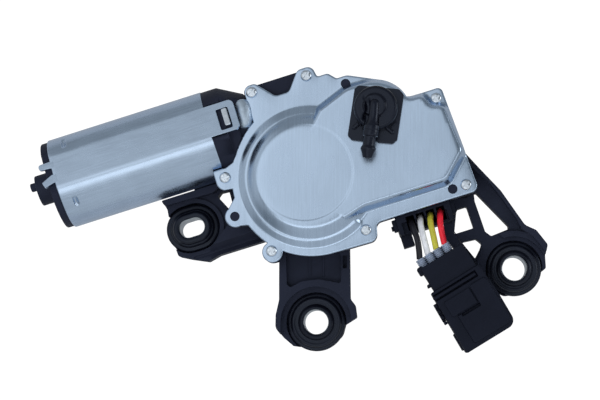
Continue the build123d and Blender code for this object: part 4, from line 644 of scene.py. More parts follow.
def laminate(name, colour):
    """Circuit board: green solder mask over a faint glass weave."""
    m = Board(name)
    m.set(Metallic=0.0, IOR=1.5)
    wave = m.put("ShaderNodeTexWave", Scale=500.0, Distortion=0.4)
    m.link(m.where, wave.inputs["Vector"])
    m.coloured(wave.outputs["Fac"], colour, 0.85, 1.15)
    m.roughened(m.noise(300), 0.3, 0.42)
    m.bump(wave.outputs["Fac"], 0.2, 0.00002)
    return m.material


def finish(slot):
    """The finish of one of the record's material slots, or one of this file's own finishes."""
    c = bpy.context.scene.wiper_colours
    kinds = {
        "zinc_plate": (zinc_sheet, c.zinc, 0.24, 72.4),
        "can_steel": (zinc_sheet, c.can, 0.25, 0.0),
        "black_moulding": (moulding, c.plastic, 0.52),
        "black_gloss": (moulding, c.elbow, 0.26, 0.000004, 0.4),
        "plug_moulding": (moulding, c.plug, 0.5),
        "screw_zinc": (bare_metal, c.screws, 0.2),
        "spring_steel": (bare_metal, (0.60, 0.72, 0.86), 0.45),
        "rubber": (rubber_skin, c.rubber, 0.36),
        "bright_steel": (bare_metal, c.sleeves, 0.3),
        "shaft_steel": (bare_metal, (0.50, 0.52, 0.55), 0.26, 0.2),
        "bronze": (bare_metal, (0.56, 0.36, 0.17), 0.42),
        "copper": (bare_metal, (0.72, 0.30, 0.13), 0.34),
        "lamination": (bare_metal, (0.28, 0.29, 0.31), 0.44),
        "ferrite": (moulding, (0.03, 0.03, 0.035), 0.55),
        "gear_plastic": (moulding, (0.70, 0.67, 0.57), 0.42),
        "board_green": (laminate, (0.02, 0.14, 0.06)),
        "component_black": (moulding, (0.02, 0.02, 0.02), 0.4),
        "terminal_tin": (bare_metal, (0.66, 0.66, 0.62), 0.28),
        "carbon": (moulding, (0.02, 0.02, 0.02), 0.6),
        "wire_black": (insulation, c.wire_black),
        "wire_white": (insulation, c.wire_white),
        "wire_yellow": (insulation, c.wire_yellow),
        "wire_red": (insulation, c.wire_red),
        "seal_grey": (rubber_skin, c.seals, 0.5),
    }
    build, *values = kinds[slot]
    return once(slot, build, *[tuple(v) if hasattr(v, "__len__") else v for v in values])


# ---------------------------------------------------------------- stamped cover
def sheet_outline(node, height):
    """The outer outline of a packed plate where its rim stands at a height."""
    whole = from_node(node)
    flat = [e for e in whole.edges if all(abs(v.co.z - height) < 0.02 for v in e.verts)
            and any(abs(f.normal.z) < 0.2 for f in e.link_faces)]
    after = {}
    for e in flat:
        for a, b in (e.verts, reversed(e.verts)):
            after.setdefault(a, []).append(b)
    loops, seen = [], set()
    for start in after:
        if start in seen or len(after[start]) != 2:
            continue
        loop, here, before = [], start, None
        while here not in seen:
            seen.add(here)
            loop.append((here.co.x, here.co.y))
            onward = [v for v in after[here] if v is not before]
            before, here = here, onward[0]
        loops.append(loop)
    whole.free()

    def area(loop):
        """The loop's area, positive when it runs counter-clockwise."""
        return sum(a[0] * b[1] - b[0] * a[1] for a, b in zip(loop, loop[1:] + loop[:1])) / 2

    widest = max(loops, key=lambda loop: abs(area(loop)))
    return widest if area(widest) > 0 else widest[::-1]


def stepped(depth, steps, soft):
    """The height over a step's depth, with its corners rounded."""
    x, z = zip(*steps)
    return sum(np.interp(depth + k * soft, x, z) for k in (-1, -0.6, -0.2, 0.2, 0.6, 1)) / 6


def stamped_height(points, outline, plateau, soft):
    """Height of the stamped sheet's upper face over plane points, and their depths inside its three steps."""
    p = np.asarray(points, float)
    terrace = RING_R - np.hypot(p[:, 0] - RING.x, p[:, 1] - RING.y)
    disc = terrace - DISC_IN
    end = 1.2 * (TERRACE_END - p[:, 0])
    ended = np.minimum(terrace, end) - END_EASE * np.log1p(np.exp(-np.abs(terrace - end) / END_EASE))
    terrace = np.where((p[:, 1] < -30) & (p[:, 0] > -34), ended, terrace)
    raised = depth_inside(p, plateau)
    heights = np.stack([stepped(terrace, TERRACE_STEPS, soft), stepped(disc, DISC_STEPS, soft),
                        stepped(raised, PLATEAU_STEPS, soft)])
    top = heights.max(axis=0)
    fillet = STEP_EASE * np.log(np.exp((heights - top) / STEP_EASE).sum(axis=0))
    top = np.minimum(top + fillet - STEP_EASE * math.log(3) * (top < FLANGE_TOP + 0.1), PLATEAU_TOP)
    out = p - np.array(EMBOSS)
    share = np.clip(EMBOSS_R - np.hypot(out[:, 0], out[:, 1]) + 0.5, 0, 1)
    drop = EMBOSS_DROP + EMBOSS_TILT * np.clip((out[:, 0] - out[:, 1]) / 30, -0.6, 1)
    top = top - drop * share * share * (3 - 2 * share) * (disc > 3.0)
    edge = depth_inside(p, outline)
    rim, droop = np.clip(1 - edge / RIM, 0, 1), np.clip(1 - edge / DROOP, 0, 1)
    return top - RIM_DROP * rim ** 2 - DROOP_DROP * droop ** 2, terrace, disc, raised


def cover_points(outline, plateau):
    """Points for the cover's mesh: close together along its steps and edges, and a plain grid on its flats."""
    seeds = []
    for centre, radii, spacing in ((RING, np.arange(20.8, 33.1, 0.3), 0.7), (EMBOSS, np.arange(21.1, 23.0, 0.3), None)):
        for radius in radii:
            seeds += ring_points(centre, radius, int(2 * math.pi * radius / spacing) if spacing else 190)
    for loop, step, offsets in ((plateau, 0.6, np.arange(-1.9, 2.6, 0.3)), (outline, 0.8, (0.22, 0.45, 0.9))):
        lines = np.asarray(spaced(loop, step))
        turn = np.roll(lines, -1, axis=0) - np.roll(lines, 1, axis=0)
        inward = np.stack([-turn[:, 1], turn[:, 0]], axis=1) / np.maximum(np.hypot(*turn.T), 1e-9)[:, None]
        inward *= np.sign(depth_inside(lines + 0.15 * inward, loop))[:, None]
        for offset in offsets:
            shifted = lines + inward * offset
            seeds += [tuple(p) for p in shifted[np.abs(depth_inside(shifted, loop) - offset) < 0.04]]
    cell = bpy.context.scene.wiper_sizes.sheet_cell
    grid = [(x, y) for x in np.arange(-82, 38, cell) for y in np.arange(-56, 34, cell)]
    p = np.asarray(seeds + grid, float)
    seed = np.arange(len(p)) < len(seeds)
    _, terrace, disc, raised = stamped_height(p, outline, plateau, 0.3)
    good = depth_inside(p, outline) >= np.where(seed, 0.15, 1.2)
    for pin in PINS:
        good &= np.hypot(*(p - pin).T) > PIN_HOLE_R + 0.4
    in_steps = (terrace > -0.6) & (terrace < 11.9) & (raised < 3) | (raised > -2.0) & (raised < 2.6) & (disc < 0)
    from_emboss = np.abs(EMBOSS_R - np.hypot(*(p - np.array(EMBOSS)).T))
    on_flats = (raised > 4.2) & (disc < -1) | (disc > 7.9) & (from_emboss > 1)
    taken, kept = set(), []
    for x, y in p[good & ~np.where(seed, on_flats, in_steps)].tolist():
        here = (round(x / 0.24), round(y / 0.24))
        if here not in taken:
            taken.add(here)
            kept.append((x, y))
    return kept


def cover_sheet(finish_of_sheet):
    """The stamped sheet steel cover: flange with lugs, sloped ring, raised plateau and a shallow round step."""
    outline = spaced(sheet_outline("cover", 34.0), 0.8)
    plateau = rounded(PLATEAU, 6)
    holes = [ring_points(pin, PIN_HOLE_R, 24) for pin in PINS]
    points, triangles = filled(outline, holes, cover_points(outline, plateau))
    heights = stamped_height(points, outline, plateau, bpy.context.scene.wiper_sizes.sheet_round)[0]
    made = plate(points, heights, heights - SHEET, triangles)
    bmesh.ops.recalc_face_normals(made, faces=made.faces)
    return piece("cover_sheet", [made], finish_of_sheet, stands_for=["cover"], sharp=50, even=False)


def screw_head():
    """A pan head with a cross recess and a stub of its thread, standing on the flange."""
    r = bpy.context.scene.wiper_sizes.screw_radius
    head = turned([(-1.0, 0), (-1.0, 1.5), (0.0, 1.5), (0.0, r - 0.1), (0.15, r), (0.85, r), (1.4, r - 0.22),
                   (1.75, r - 0.6), (1.88, r - 1.0), (1.9, 0)], steps=40)
    made = []
    for k, part in enumerate([head] + [block((0, 0, 1.9), size) for size in ((3.9, 0.85, 2.2), (0.85, 3.9, 2.2))]):
        mesh = bpy.data.meshes.new(f"cut_{k}")
        part.to_mesh(mesh)
        part.free()
        made.append(bpy.data.objects.new(f"cut_{k}", mesh))
        bpy.context.scene.collection.objects.link(made[-1])
    for tool in made[1:]:
        modifier = made[0].modifiers.new("Recess", "BOOLEAN")
        modifier.operation = "DIFFERENCE"
        modifier.solver = "EXACT"
        modifier.object = tool
    plain(made[0])
    result = bmesh.new()
    result.from_mesh(made[0].data)
    for o in made:
        mesh = o.data
        bpy.data.objects.remove(o)
        bpy.data.meshes.remove(mesh)
    return result


# ---------------------------------------------------------------- motor can
def can_section(x, inset=0.0, dents=True):
    """One section across the can: a circle with a flat, in millimetres round the motor's axis."""
    tilt = math.radians(FLAT_TILT)
    points = []
    for k in range(CAN_STEPS):
        y, z = along(360 * k / CAN_STEPS, 1.0)
        reach = y * math.sin(tilt) + z * math.cos(tilt)
        radius = CAN_R - inset
        if reach > 0:
            cut = (FLAT_DIST - inset) / max(reach, 1e-6)
            radius = min(radius, cut) - FLAT_BLEND * math.log1p(math.exp(-abs(cut - radius) / FLAT_BLEND))
        for cx, cy in CRIMPS if dents and z > 0 else ():
            across = y * radius + MOTOR.y - cy
            depth = math.exp(-((x - cx) / 1.0) ** 4 - (across / 1.9) ** 4)
            radius -= 0.9 * depth * (1 - 0.5 * (x - cx))
        points.append((x, MOTOR.y + y * radius, MOTOR.z + z * radius))
    return points


def can_shell():
    """The drawn steel can with its flat, rolled end edges and two crimp dents."""
    stations = [(CAN_LEFT, CAN_WALL), (CAN_LEFT, 0.5), (CAN_LEFT + 0.15, 0.15), (CAN_LEFT + 0.5, 0.0)]
    for start, end, step in ((CAN_LEFT + 2.0, -145.0, 1.5), (-145.0, -138.8, 0.25), (-138.0, CAN_RIGHT - 1, 4.0)):
        stations += [(x, 0.0) for x in np.arange(start, end, step)]
    stations += [(CAN_RIGHT - 0.4, 0.0), (CAN_RIGHT - 0.1, 0.12), (CAN_RIGHT, 0.5), (CAN_RIGHT, CAN_WALL)]
    made = bmesh.new()
    rows = [[made.verts.new(p) for p in can_section(x, inset, dents=inset == 0.0)] for x, inset in stations]
    back = [[made.verts.new(p) for p in can_section(x, CAN_WALL, dents=False)]
            for x in (CAN_RIGHT - 0.02, CAN_LEFT + 0.02)]
    for a, b in zip(rows + back, (rows + back)[1:] + [rows[0]]):
        for k in range(CAN_STEPS):
            n = (k + 1) % CAN_STEPS
            made.faces.new([a[k], a[n], b[n], b[k]])
    bmesh.ops.recalc_face_normals(made, faces=made.faces)
    return made


def can_tongue():
    """The tongue on the flat with its window, which snaps over the housing's hook."""
    outer = rounded([(CAN_RIGHT - 6, -7.5, 0), (-60.8, -7.5, 2.6), (-60.8, 7.5, 2.6), (CAN_RIGHT - 6, 7.5, 0)])
    window = rounded([(-69.5, -5.8, 0.6), (-64, -5.8, 0.6), (-64, 4.4, 0.6), (-69.5, 4.4, 0.6)])
    return softened(slab(outer, 0, CAN_WALL + 0.02, [window], flat_frame(FLAT_DIST - CAN_WALL)), 0.2)


def can_tabs():
    """Two bent tabs at the cap's end, one straight finger and one slanted."""
    finger = rounded([(-147.4, 1.4, 0), (-147.4, 5.2, 0), (-150.5, 5.0, 0.6), (-154.8, 4.8, 1.2), (-154.8, 2.2, 1.2),
                      (-150.5, 1.8, 0.4)])
    slant = rounded([(-147.4, -1.4, 0), (-149.8, -1.4, 0.4), (-155.0, -3.9, 0.5), (-154.2, -6.6, 0.5),
                     (-149.6, -5.4, 0.4), (-147.4, -5.6, 0)])
    return [softened(slab(tab, 0, CAN_WALL, (), flat_frame(FLAT_DIST - CAN_WALL)), 0.2) for tab in (finger, slant)]


# ---------------------------------------------------------------- washer elbow
def elbow_point(u, v, z):
    """A point of the elbow: u along its pipe from the pipe's start, v across it, at a height."""
    x, y = along(PIPE_HEADING + 90, v, along(PIPE_HEADING, u, PIPE_START))
    return Vector((x, y, z))


def capsule(a, b, radius, steps=16):
    """A rod with round ends between two points."""
    a, b = Vector(a), Vector(b)
    length = (b - a).length
    ends = [(1 - math.cos(math.radians(t)), math.sin(math.radians(t))) for t in (0, 25, 50, 75, 90)]
    profile = [(radius * (d - 1), radius * r) for d, r in ends]
    profile += [(length - radius * (d - 1), radius * r) for d, r in reversed(ends)]
    return turned(profile, a, b - a, steps)


def cap_crown():
    """The cap's top: a boss blended into the face, with a hollow beside the pipe."""
    ahead, across = along(PIPE_HEADING, 1.0), along(PIPE_HEADING + 90, 1.0)
    made = bmesh.new()
    rows = []
    for ring in range(37):
        radius = CROWN_R * (ring / 36)
        row = []
        for k in range(96 if ring else 1):
            x, y = along(360 * k / 96, radius, CAP_AT)
            dx, dy = x - PIPE_START[0], y - PIPE_START[1]
            u, v = dx * ahead[0] + dy * ahead[1], dx * across[0] + dy * across[1]
            z = CROWN_Z + BOSS_HIGH / (1 + math.exp((math.hypot(u - 1.4, v - 0.9) - BOSS_R) / 0.13))
            shift = v + 2.6 - 0.88 * math.sin((u + 1) / 9 * math.pi)
            z -= 2.0 * math.exp(-(shift / 1.35) ** 4 - ((u - 3.6) / 4.6) ** 4)
            z -= 0.35 * max(0.0, (radius - 8.4) / 0.85) ** 2
            row.append(made.verts.new((x, y, z)))
        rows.append(row)
    rows.append([made.verts.new((v.co.x, v.co.y, 47.0)) for v in rows[-1]])
    for k in range(96):
        made.faces.new([rows[0][0], rows[1][k], rows[1][(k + 1) % 96]])
    for low, high in zip(rows[1:], rows[2:]):
        for k in range(96):
            n = (k + 1) % 96
            made.faces.new([low[k], high[k], high[n], low[n]])
    made.faces.new(rows[-1])
    bmesh.ops.recalc_face_normals(made, faces=made.faces)
    return made


def elbow_parts():
    """The washer elbow: clip plate, round cap with a stepped rim, pipe with collar and barb, and two clips."""
    base = rounded([(-6.2, 12.6, 1), (-4.0, 13.6, 1.5), (13.0, 6.3, 1.5), (14.3, 3.2, 1.5), (5.2, -15.4, 1.5),
                    (2.6, -16.6, 1.5), (-3.2, -14.2, 1), (-4.4, -12.4, 1), (-7.8, -11.0, 1), (-10.0, -11.4, 1),
                    (-14.4, -9.4, 1.5), (-15.6, -6.8, 1.5)])
    cap = turned([(43.2, 0), (43.2, 9.9), (47.4, 9.95), (48.4, 9.9), (49.0, 9.6), (49.2, 9.35), (49.1, 9.1),
                  (47.5, 9.05), (47.4, 0)], (*CAP_AT, 0), (0, 0, 1), 96)
    heading = Vector((*along(PIPE_HEADING, 1.0), 0))
    side = Vector((-heading.y, heading.x, 0))
    pipe = turned([(-1.3, 0), (-1.15, 0.9), (-0.6, 1.6), (0.3, 2.0), (1.6, 2.15), (6.0, 2.2), (9.0, 2.45), (10.6, 3.3),
                   (11.0, 3.55), (12.6, 3.6), (12.8, 3.45), (13.0, 3.6), (15.2, 3.6), (15.5, 3.45), (15.7, 2.9),
                   (16.2, 2.78), (19.6, 2.78), (20.2, 2.95), (20.9, 3.45), (21.4, 3.5), (21.9, 3.4), (23.2, 2.8),
                   (25.0, 2.2), (25.4, 2.05), (25.5, 1.9), (25.5, 1.35), (25.2, 1.2), (12.0, 1.2), (12.0, 0)],
                  elbow_point(0, 0, PIPE_Z), heading, 56)
    for v in pipe.verts:
        u = (v.co - elbow_point(0, 0, PIPE_Z)).dot(heading)
        v.co += side * float(np.interp(u, [-1.3, 5.0, 10.5, 15.5, 18.0, 21.0], [0.8, 1.15, 0.75, 0.35, 0.15, 0.0]))
    clips = [softened(block(elbow_point(9.4, k * 5.2 + 0.6, 45.6), (1.6, 1.3, 4.2), PIPE_HEADING + 24 * k), 0.3)
             for k in (-1, 1)]
    return [softened(slab(base, PLATEAU_TOP, 43.4), 0.45, 3), cap, cap_crown(), pipe,
            softened(block(elbow_point(8.9, 0.4, 46.4), (5.6, 6.6, 6.0), PIPE_HEADING), 0.8, 3),
            capsule(elbow_point(9.6, -5.6, 44.2), elbow_point(11.6, -7.5, 44.0), 0.95),
            capsule(elbow_point(10.4, 7.5, 44.2), elbow_point(12.0, 9.9, 44.0), 1.0),
            capsule(elbow_point(9.6, 9.4, 43.8), elbow_point(7.4, 11.2, 43.8), 0.42, 10)] + clips


# ---------------------------------------------------------------- output shaft
def shaft_form():
    """The hollow output shaft: threaded end, knurled cone for the wiper arm, ring groove and journal."""
    knurls = bpy.context.scene.wiper_sizes.knurls
    profile = [(SHAFT_LOW, 3.5), (-47.6, 3.9)] + [(z, 4.0) for z in np.arange(-47.4, -38.9, 0.14)]
    profile += [(-38.7, 4.0), (CONE_LOW, 4.0)]
    profile += [(z, 4.3 + (z - CONE_LOW) * 0.7 / (CONE_HIGH - CONE_LOW)) for z in np.linspace(CONE_LOW, CONE_HIGH, 9)]
    profile += [(-31.0, 5.0), (-23.4, 5.0), (-23.4, 4.5), (-22.2, 4.5), (-22.2, 5.0), (SHAFT_STEP, 5.0),
                (SHAFT_STEP, 4.0), (36.2, 4.0), (36.4, 3.8), (36.4, 3.1), (30.4, 3.1), (30.4, 1.5), (SHAFT_LOW, 1.5)]
    made = turned(profile, steps=240)
    for v in made.verts:
        radius, angle = math.hypot(v.co.x, v.co.y), math.atan2(v.co.y, v.co.x)
        if radius < 3.6 or v.co.z > CONE_HIGH + 0.1:
            continue
        if v.co.z < CONE_LOW - 0.3:
            ends = min(1.0, (v.co.z - SHAFT_LOW - 0.1) / 0.8, (CONE_LOW - 0.6 - v.co.z) / 0.8)
            turn = (v.co.z / PITCH - angle / (2 * math.pi)) % 1.0
            less = THREAD_DEEP * abs(2 * turn - 1) * max(0.0, ends)
        else:
            ends = min(1.0, (v.co.z - CONE_LOW + 0.1) / 0.5, (CONE_HIGH - 0.1 - v.co.z) / 0.5)
            less = KNURL_DEEP / 2 * (1 - math.cos(angle * knurls)) * max(0.0, ends)
        v.co.x *= 1 - less / radius
        v.co.y *= 1 - less / radius
    return made


# ---------------------------------------------------------------- mounts
def slot_radius(angle, half, radius):
    """Distance from a slot's centre to its wall in a direction."""
    c, s = abs(math.cos(angle)), abs(math.sin(angle))
    if s > 1e-6 and radius / s * c <= half:
        return radius / s
    return half * c + math.sqrt(max(0.0, radius * radius - (half * s) ** 2))


def lengthened(made, half):
    """A turned form about Z drawn out into a slot's shape along X."""
    if half:
        for v in made.verts:
            angle = math.atan2(v.co.y, v.co.x)
            radius = slot_radius(angle, half, math.hypot(v.co.x, v.co.y))
            v.co.x, v.co.y = radius * math.cos(angle), radius * math.sin(angle)
    return made


def grommet_form(side):
    """A moulded rubber grommet: outer lip with a step, a rolled ring, a valley and a collar over the sleeve's end."""
    lip, groove, tube, opening, half = GROMMETS[side]
    low = min(lip, 12.4)
    crest = lip - 2.7 - (0.5 if half else 0)
    collar = 8.1 - (0.8 if half else 0)
    profile = [(0.6, tube), (0.6, low - 1.0), (0.8, low - 0.4), (1.4, low), (2.9, low), (3.0, groove), (7.0, groove),
               (7.05, lip - 0.25), (7.3, lip), (10.3, lip), (10.75, lip - 0.1), (11.1, lip - 0.4), (11.3, lip - 0.8),
               (11.35, lip - 1.2), (11.5, crest + 1.15), (12.2, crest + 1.0), (12.9, crest + 0.8), (13.4, crest + 0.5),
               (13.68, crest + 0.1), (13.72, crest - 0.3), (13.55, crest - 0.75), (13.4, crest - 1.1)]
    if crest - 1.1 > collar + 0.4:
        profile += [(13.5, collar + 0.35)]
    profile += [(13.9, collar + 0.15), (14.6, collar - 0.15), (15.2, collar - 0.5), (15.6, collar - 1.0),
                (15.72, collar - 1.4 if half else collar - 1.3), (15.5, opening + 0.3), (15.2, opening),
                (15.0, opening), (15.0, tube)]
    made = lengthened(turned(profile, (0, 0, 0), (0, 0, 1), 120), half)
    made.transform(Matrix.Translation((*EYES[side], 0)))
    return made


def sleeve_form(side):
    """A steel sleeve with chamfered ends; the slotted one is long along X."""
    tube, half = GROMMETS[side][2], GROMMETS[side][4]
    wall = 1.5 if half else 1.6
    profile = [(0.0, 0.3), (0.0, wall - 0.35), (0.3, wall), (14.7, wall), (15.0, wall - 0.3), (15.0, 0.35),
               (14.7, 0.0), (0.3, 0.0)]
    made = lengthened(turned([(z, tube - wall + r) for z, r in profile], (0, 0, 0), (0, 0, 1), 96), half)
    made.transform(Matrix.Translation((*EYES[side], 0)))
    return made


# ---------------------------------------------------------------- wiring
def plug_point(u, v):
    """A point of the plug: u along it from its back, v across it."""
    ahead, across = along(PLUG_HEADING, 1.0), along(PLUG_HEADING + 90, 1.0)
    return (PLUG_BACK[0] + u * ahead[0] + v * across[0], PLUG_BACK[1] + u * ahead[1] + v * across[1])


def plug_frame(z):
    """A frame on the plug: X along it from its back, Y across it."""
    return Matrix.Translation((*PLUG_BACK, z)) @ Matrix.Rotation(math.radians(PLUG_HEADING), 4, "Z")


def plug_body():
    """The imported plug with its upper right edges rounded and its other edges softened."""
    made = from_node("plug_housing")
    across, ahead = Vector((*along(PLUG_HEADING + 90, 1.0), 0)), Vector((*along(PLUG_HEADING, 1.0), 0))
    back = Vector((*PLUG_BACK, 0))
    for side, top, width in ((11.2, 38.5, 3.4), (12.5, 39.5, 2.2)):
        long = [e for e in made.edges if e.calc_length() > 8 and all(
            abs((v.co - back).dot(across) - side) < 0.9 and abs(v.co.z - top) < 0.1 for v in e.verts)
            and abs((e.verts[0].co - e.verts[1].co).normalized().dot(ahead)) > 0.9]
        if long:
            bmesh.ops.bevel(made, geom=long, offset=width, offset_type="OFFSET", segments=7, profile=0.5,
                            affect="EDGES", clamp_overlap=True)
    return softened(made, 0.4, 3, 40.0)


def plug_details():
    """The plug's collar, stepped left edge and a thin raised face behind the latch."""
    parts = [softened(slab(rounded(corners), low, high, (), plug_frame(PLUG_Z)), 0.3) for corners, low, high in (
        ([(-0.9, -12.6, 1.0), (3.2, -12.6, 0.8), (3.2, -10.0, 0), (-0.9, -10.0, 0)], -3.5, 3.0),
        ([(7.9, -12.3, 0.4), (9.5, -12.6, 0.4), (9.5, -10.0, 0), (7.9, -10.0, 0)], -4.5, 5.0),
        ([(18.6, -10.2, 0.6), (26.4, -10.2, 0.6), (26.4, 3.0, 0), (18.6, 3.0, 0.6)], 5.0, 7.3),
        ([(33.0, -14.0, 0.4), (41.5, -14.2, 0.4), (41.5, -12.0, 0), (33.0, -12.0, 0)], -5.0, 2.0))]
    for k in range(4):
        x, y = 17.2 + k * 2.9, -13.2 - 0.15 * k
        tooth = rounded([(x, y, 0), (x, y - 1.2, 0.3), (x + 1.7, y - 1.3, 0.3), (x + 1.7, -13.0, 0)])
        parts.append(softened(slab(tooth, 1.5, 4.2, (), plug_frame(PLUG_Z)), 0.25))
    return parts


def lead(name, cell, seat, bow, middle, crest, colour_slot):
    """One insulated lead from the socket to its seal: its tube, the line that it follows and its length in metres."""
    end = plug_point(-4.0, seat)
    route = [(cell, -50.6, 13.9), (cell, -50.3, 20.0), (cell, -51.2, 26.6), (cell + bow, -54.9, 32.0),
             (middle, (end[1] - 54.9) / 2, crest), (*end, PLUG_Z)]
    curve = bpy.data.curves.new(name, "CURVE")
    curve.dimensions = "3D"
    spline = curve.splines.new("NURBS")
    spline.points.add(len(route) - 1)
    for point, place in zip(spline.points, route):
        point.co = (*[c * MM for c in place], 1.0)
    spline.order_u = 3
    spline.use_endpoint_u = True
    spline.resolution_u = 16
    curve.resolution_u = 16
    curve.use_fill_caps = True
    drawn = bpy.data.objects.new(name + "_route", curve)
    bpy.context.scene.collection.objects.link(drawn)
    line = bpy.data.meshes.new_from_object(drawn)
    path = [v.co.copy() for v in line.vertices]
    curve.bevel_depth = bpy.context.scene.wiper_sizes.wire_radius * MM
    curve.bevel_resolution = 8
    tube = bpy.data.meshes.new_from_object(drawn)
    bpy.data.objects.remove(drawn)
    bpy.data.curves.remove(curve)
    bpy.data.meshes.remove(line)
    tube.name = name
    tube.materials.clear()
    tube.materials.append(finish(colour_slot))
    tube.shade_smooth()
    tube.set_sharp_from_angle(angle=math.radians(50))
    made = bpy.data.objects.new(name, tube)
    bpy.context.scene.collection.objects.link(made)
    seated(made, "gearbox", [name.replace("lead", "wire")])
    return made, path, sum((b - a).length for a, b in zip(path, path[1:]))


def seal_form():
    """A ribbed wire seal, its axis along X and its outer end at X = 0."""
    profile = [(0, 1.45), (0, 1.9), (0.15, 2.1)]
    for k in range(4):
        profile += [(0.3 + k * 0.9, 2.18), (0.62 + k * 0.9, 2.18), (0.78 + k * 0.9, 1.78), (1.0 + k * 0.9, 1.78)]
    profile += [(4.0, 2.1), (9.8, 2.1), (10.0, 1.45)]
    return turned(profile, (0, 0, 0), (1, 0, 0), 28)


# ---------------------------------------------------------------- what a user would change
class MotorSizes(bpy.types.PropertyGroup):
    """Sizes of the dressed pieces, in millimetres unless a unit says otherwise."""

    def measure(name, words, value, low, high, **more):
        """A number with a default and limits."""
        return FloatProperty(name=name, description=words, default=value, min=low, max=high, **more)

    sheet_cell: measure("Sheet cell", "Spacing of the stamped cover's mesh on its flats, in mm", 1.1, 0.4, 3.0)
    sheet_round: measure("Sheet rounding", "Half width over which the stamping's corners round, in mm", 0.8, 0.05, 1.0)
    soften: measure("Moulded edge", "Rounding of the moulded parts' edges, in mm", 0.28, 0.0, 1.0)
    screw_radius: measure("Screw head radius", "Radius of the cover screws' heads, in mm", 2.6, 1.5, 2.8)
    wire_radius: measure("Wire radius", "Radius of each lead over its insulation, in mm", 1.4, 0.8, 1.6)
    knurls: IntProperty(name="Cone knurls", description="Grooves round the cone for the wiper arm", default=48,
                        min=12, max=90)
    view_distance: measure("View distance", "From the output shaft's mounting plane to the camera", 0.8829, 0.4, 3.0,
                           unit="LENGTH")
    lens: measure("Lens", "Focal length over a 36 mm sensor", 112.08, 35, 200)


class MotorColours(bpy.types.PropertyGroup):
    """Colours of the finishes, in linear values."""

    def tone(name, words, value):
        """A colour with a default."""
        return FloatVectorProperty(name=name, description=words, subtype="COLOR", size=3, min=0.0, max=1.0,
                                   default=value)

    zinc: tone("Cover steel", "Galvanised sheet of the cover", (0.46, 0.58, 0.75))
    can: tone("Can steel", "Drawn steel of the motor can", (0.49, 0.61, 0.78))
    plastic: tone("Moulded plastic", "Housing, arms and cap", (0.0150, 0.0178, 0.0325))
    plug: tone("Plug plastic", "Socket and plug", (0.0060, 0.0070, 0.0140))
    elbow: tone("Elbow plastic", "Washer elbow", (0.0045, 0.0052, 0.0110))
    rubber: tone("Rubber", "Grommets and seals", (0.0042, 0.0048, 0.0100))
    screws: tone("Screws", "Zinc of the screws", (0.72, 0.80, 0.90))
    sleeves: tone("Sleeves", "Steel of the sleeves, link and rod", (0.50, 0.55, 0.60))
    wire_white: tone("White lead", "Insulation", (0.80, 0.82, 0.88))
    wire_yellow: tone("Yellow lead", "Insulation", (0.58, 0.55, 0.06))
    wire_red: tone("Red lead", "Insulation", (0.85, 0.022, 0.045))
    wire_black: tone("Black lead", "Insulation", (0.012, 0.012, 0.018))
    seals: tone("Wire seals", "Silicone rubber of the seals", (0.31, 0.37, 0.49))


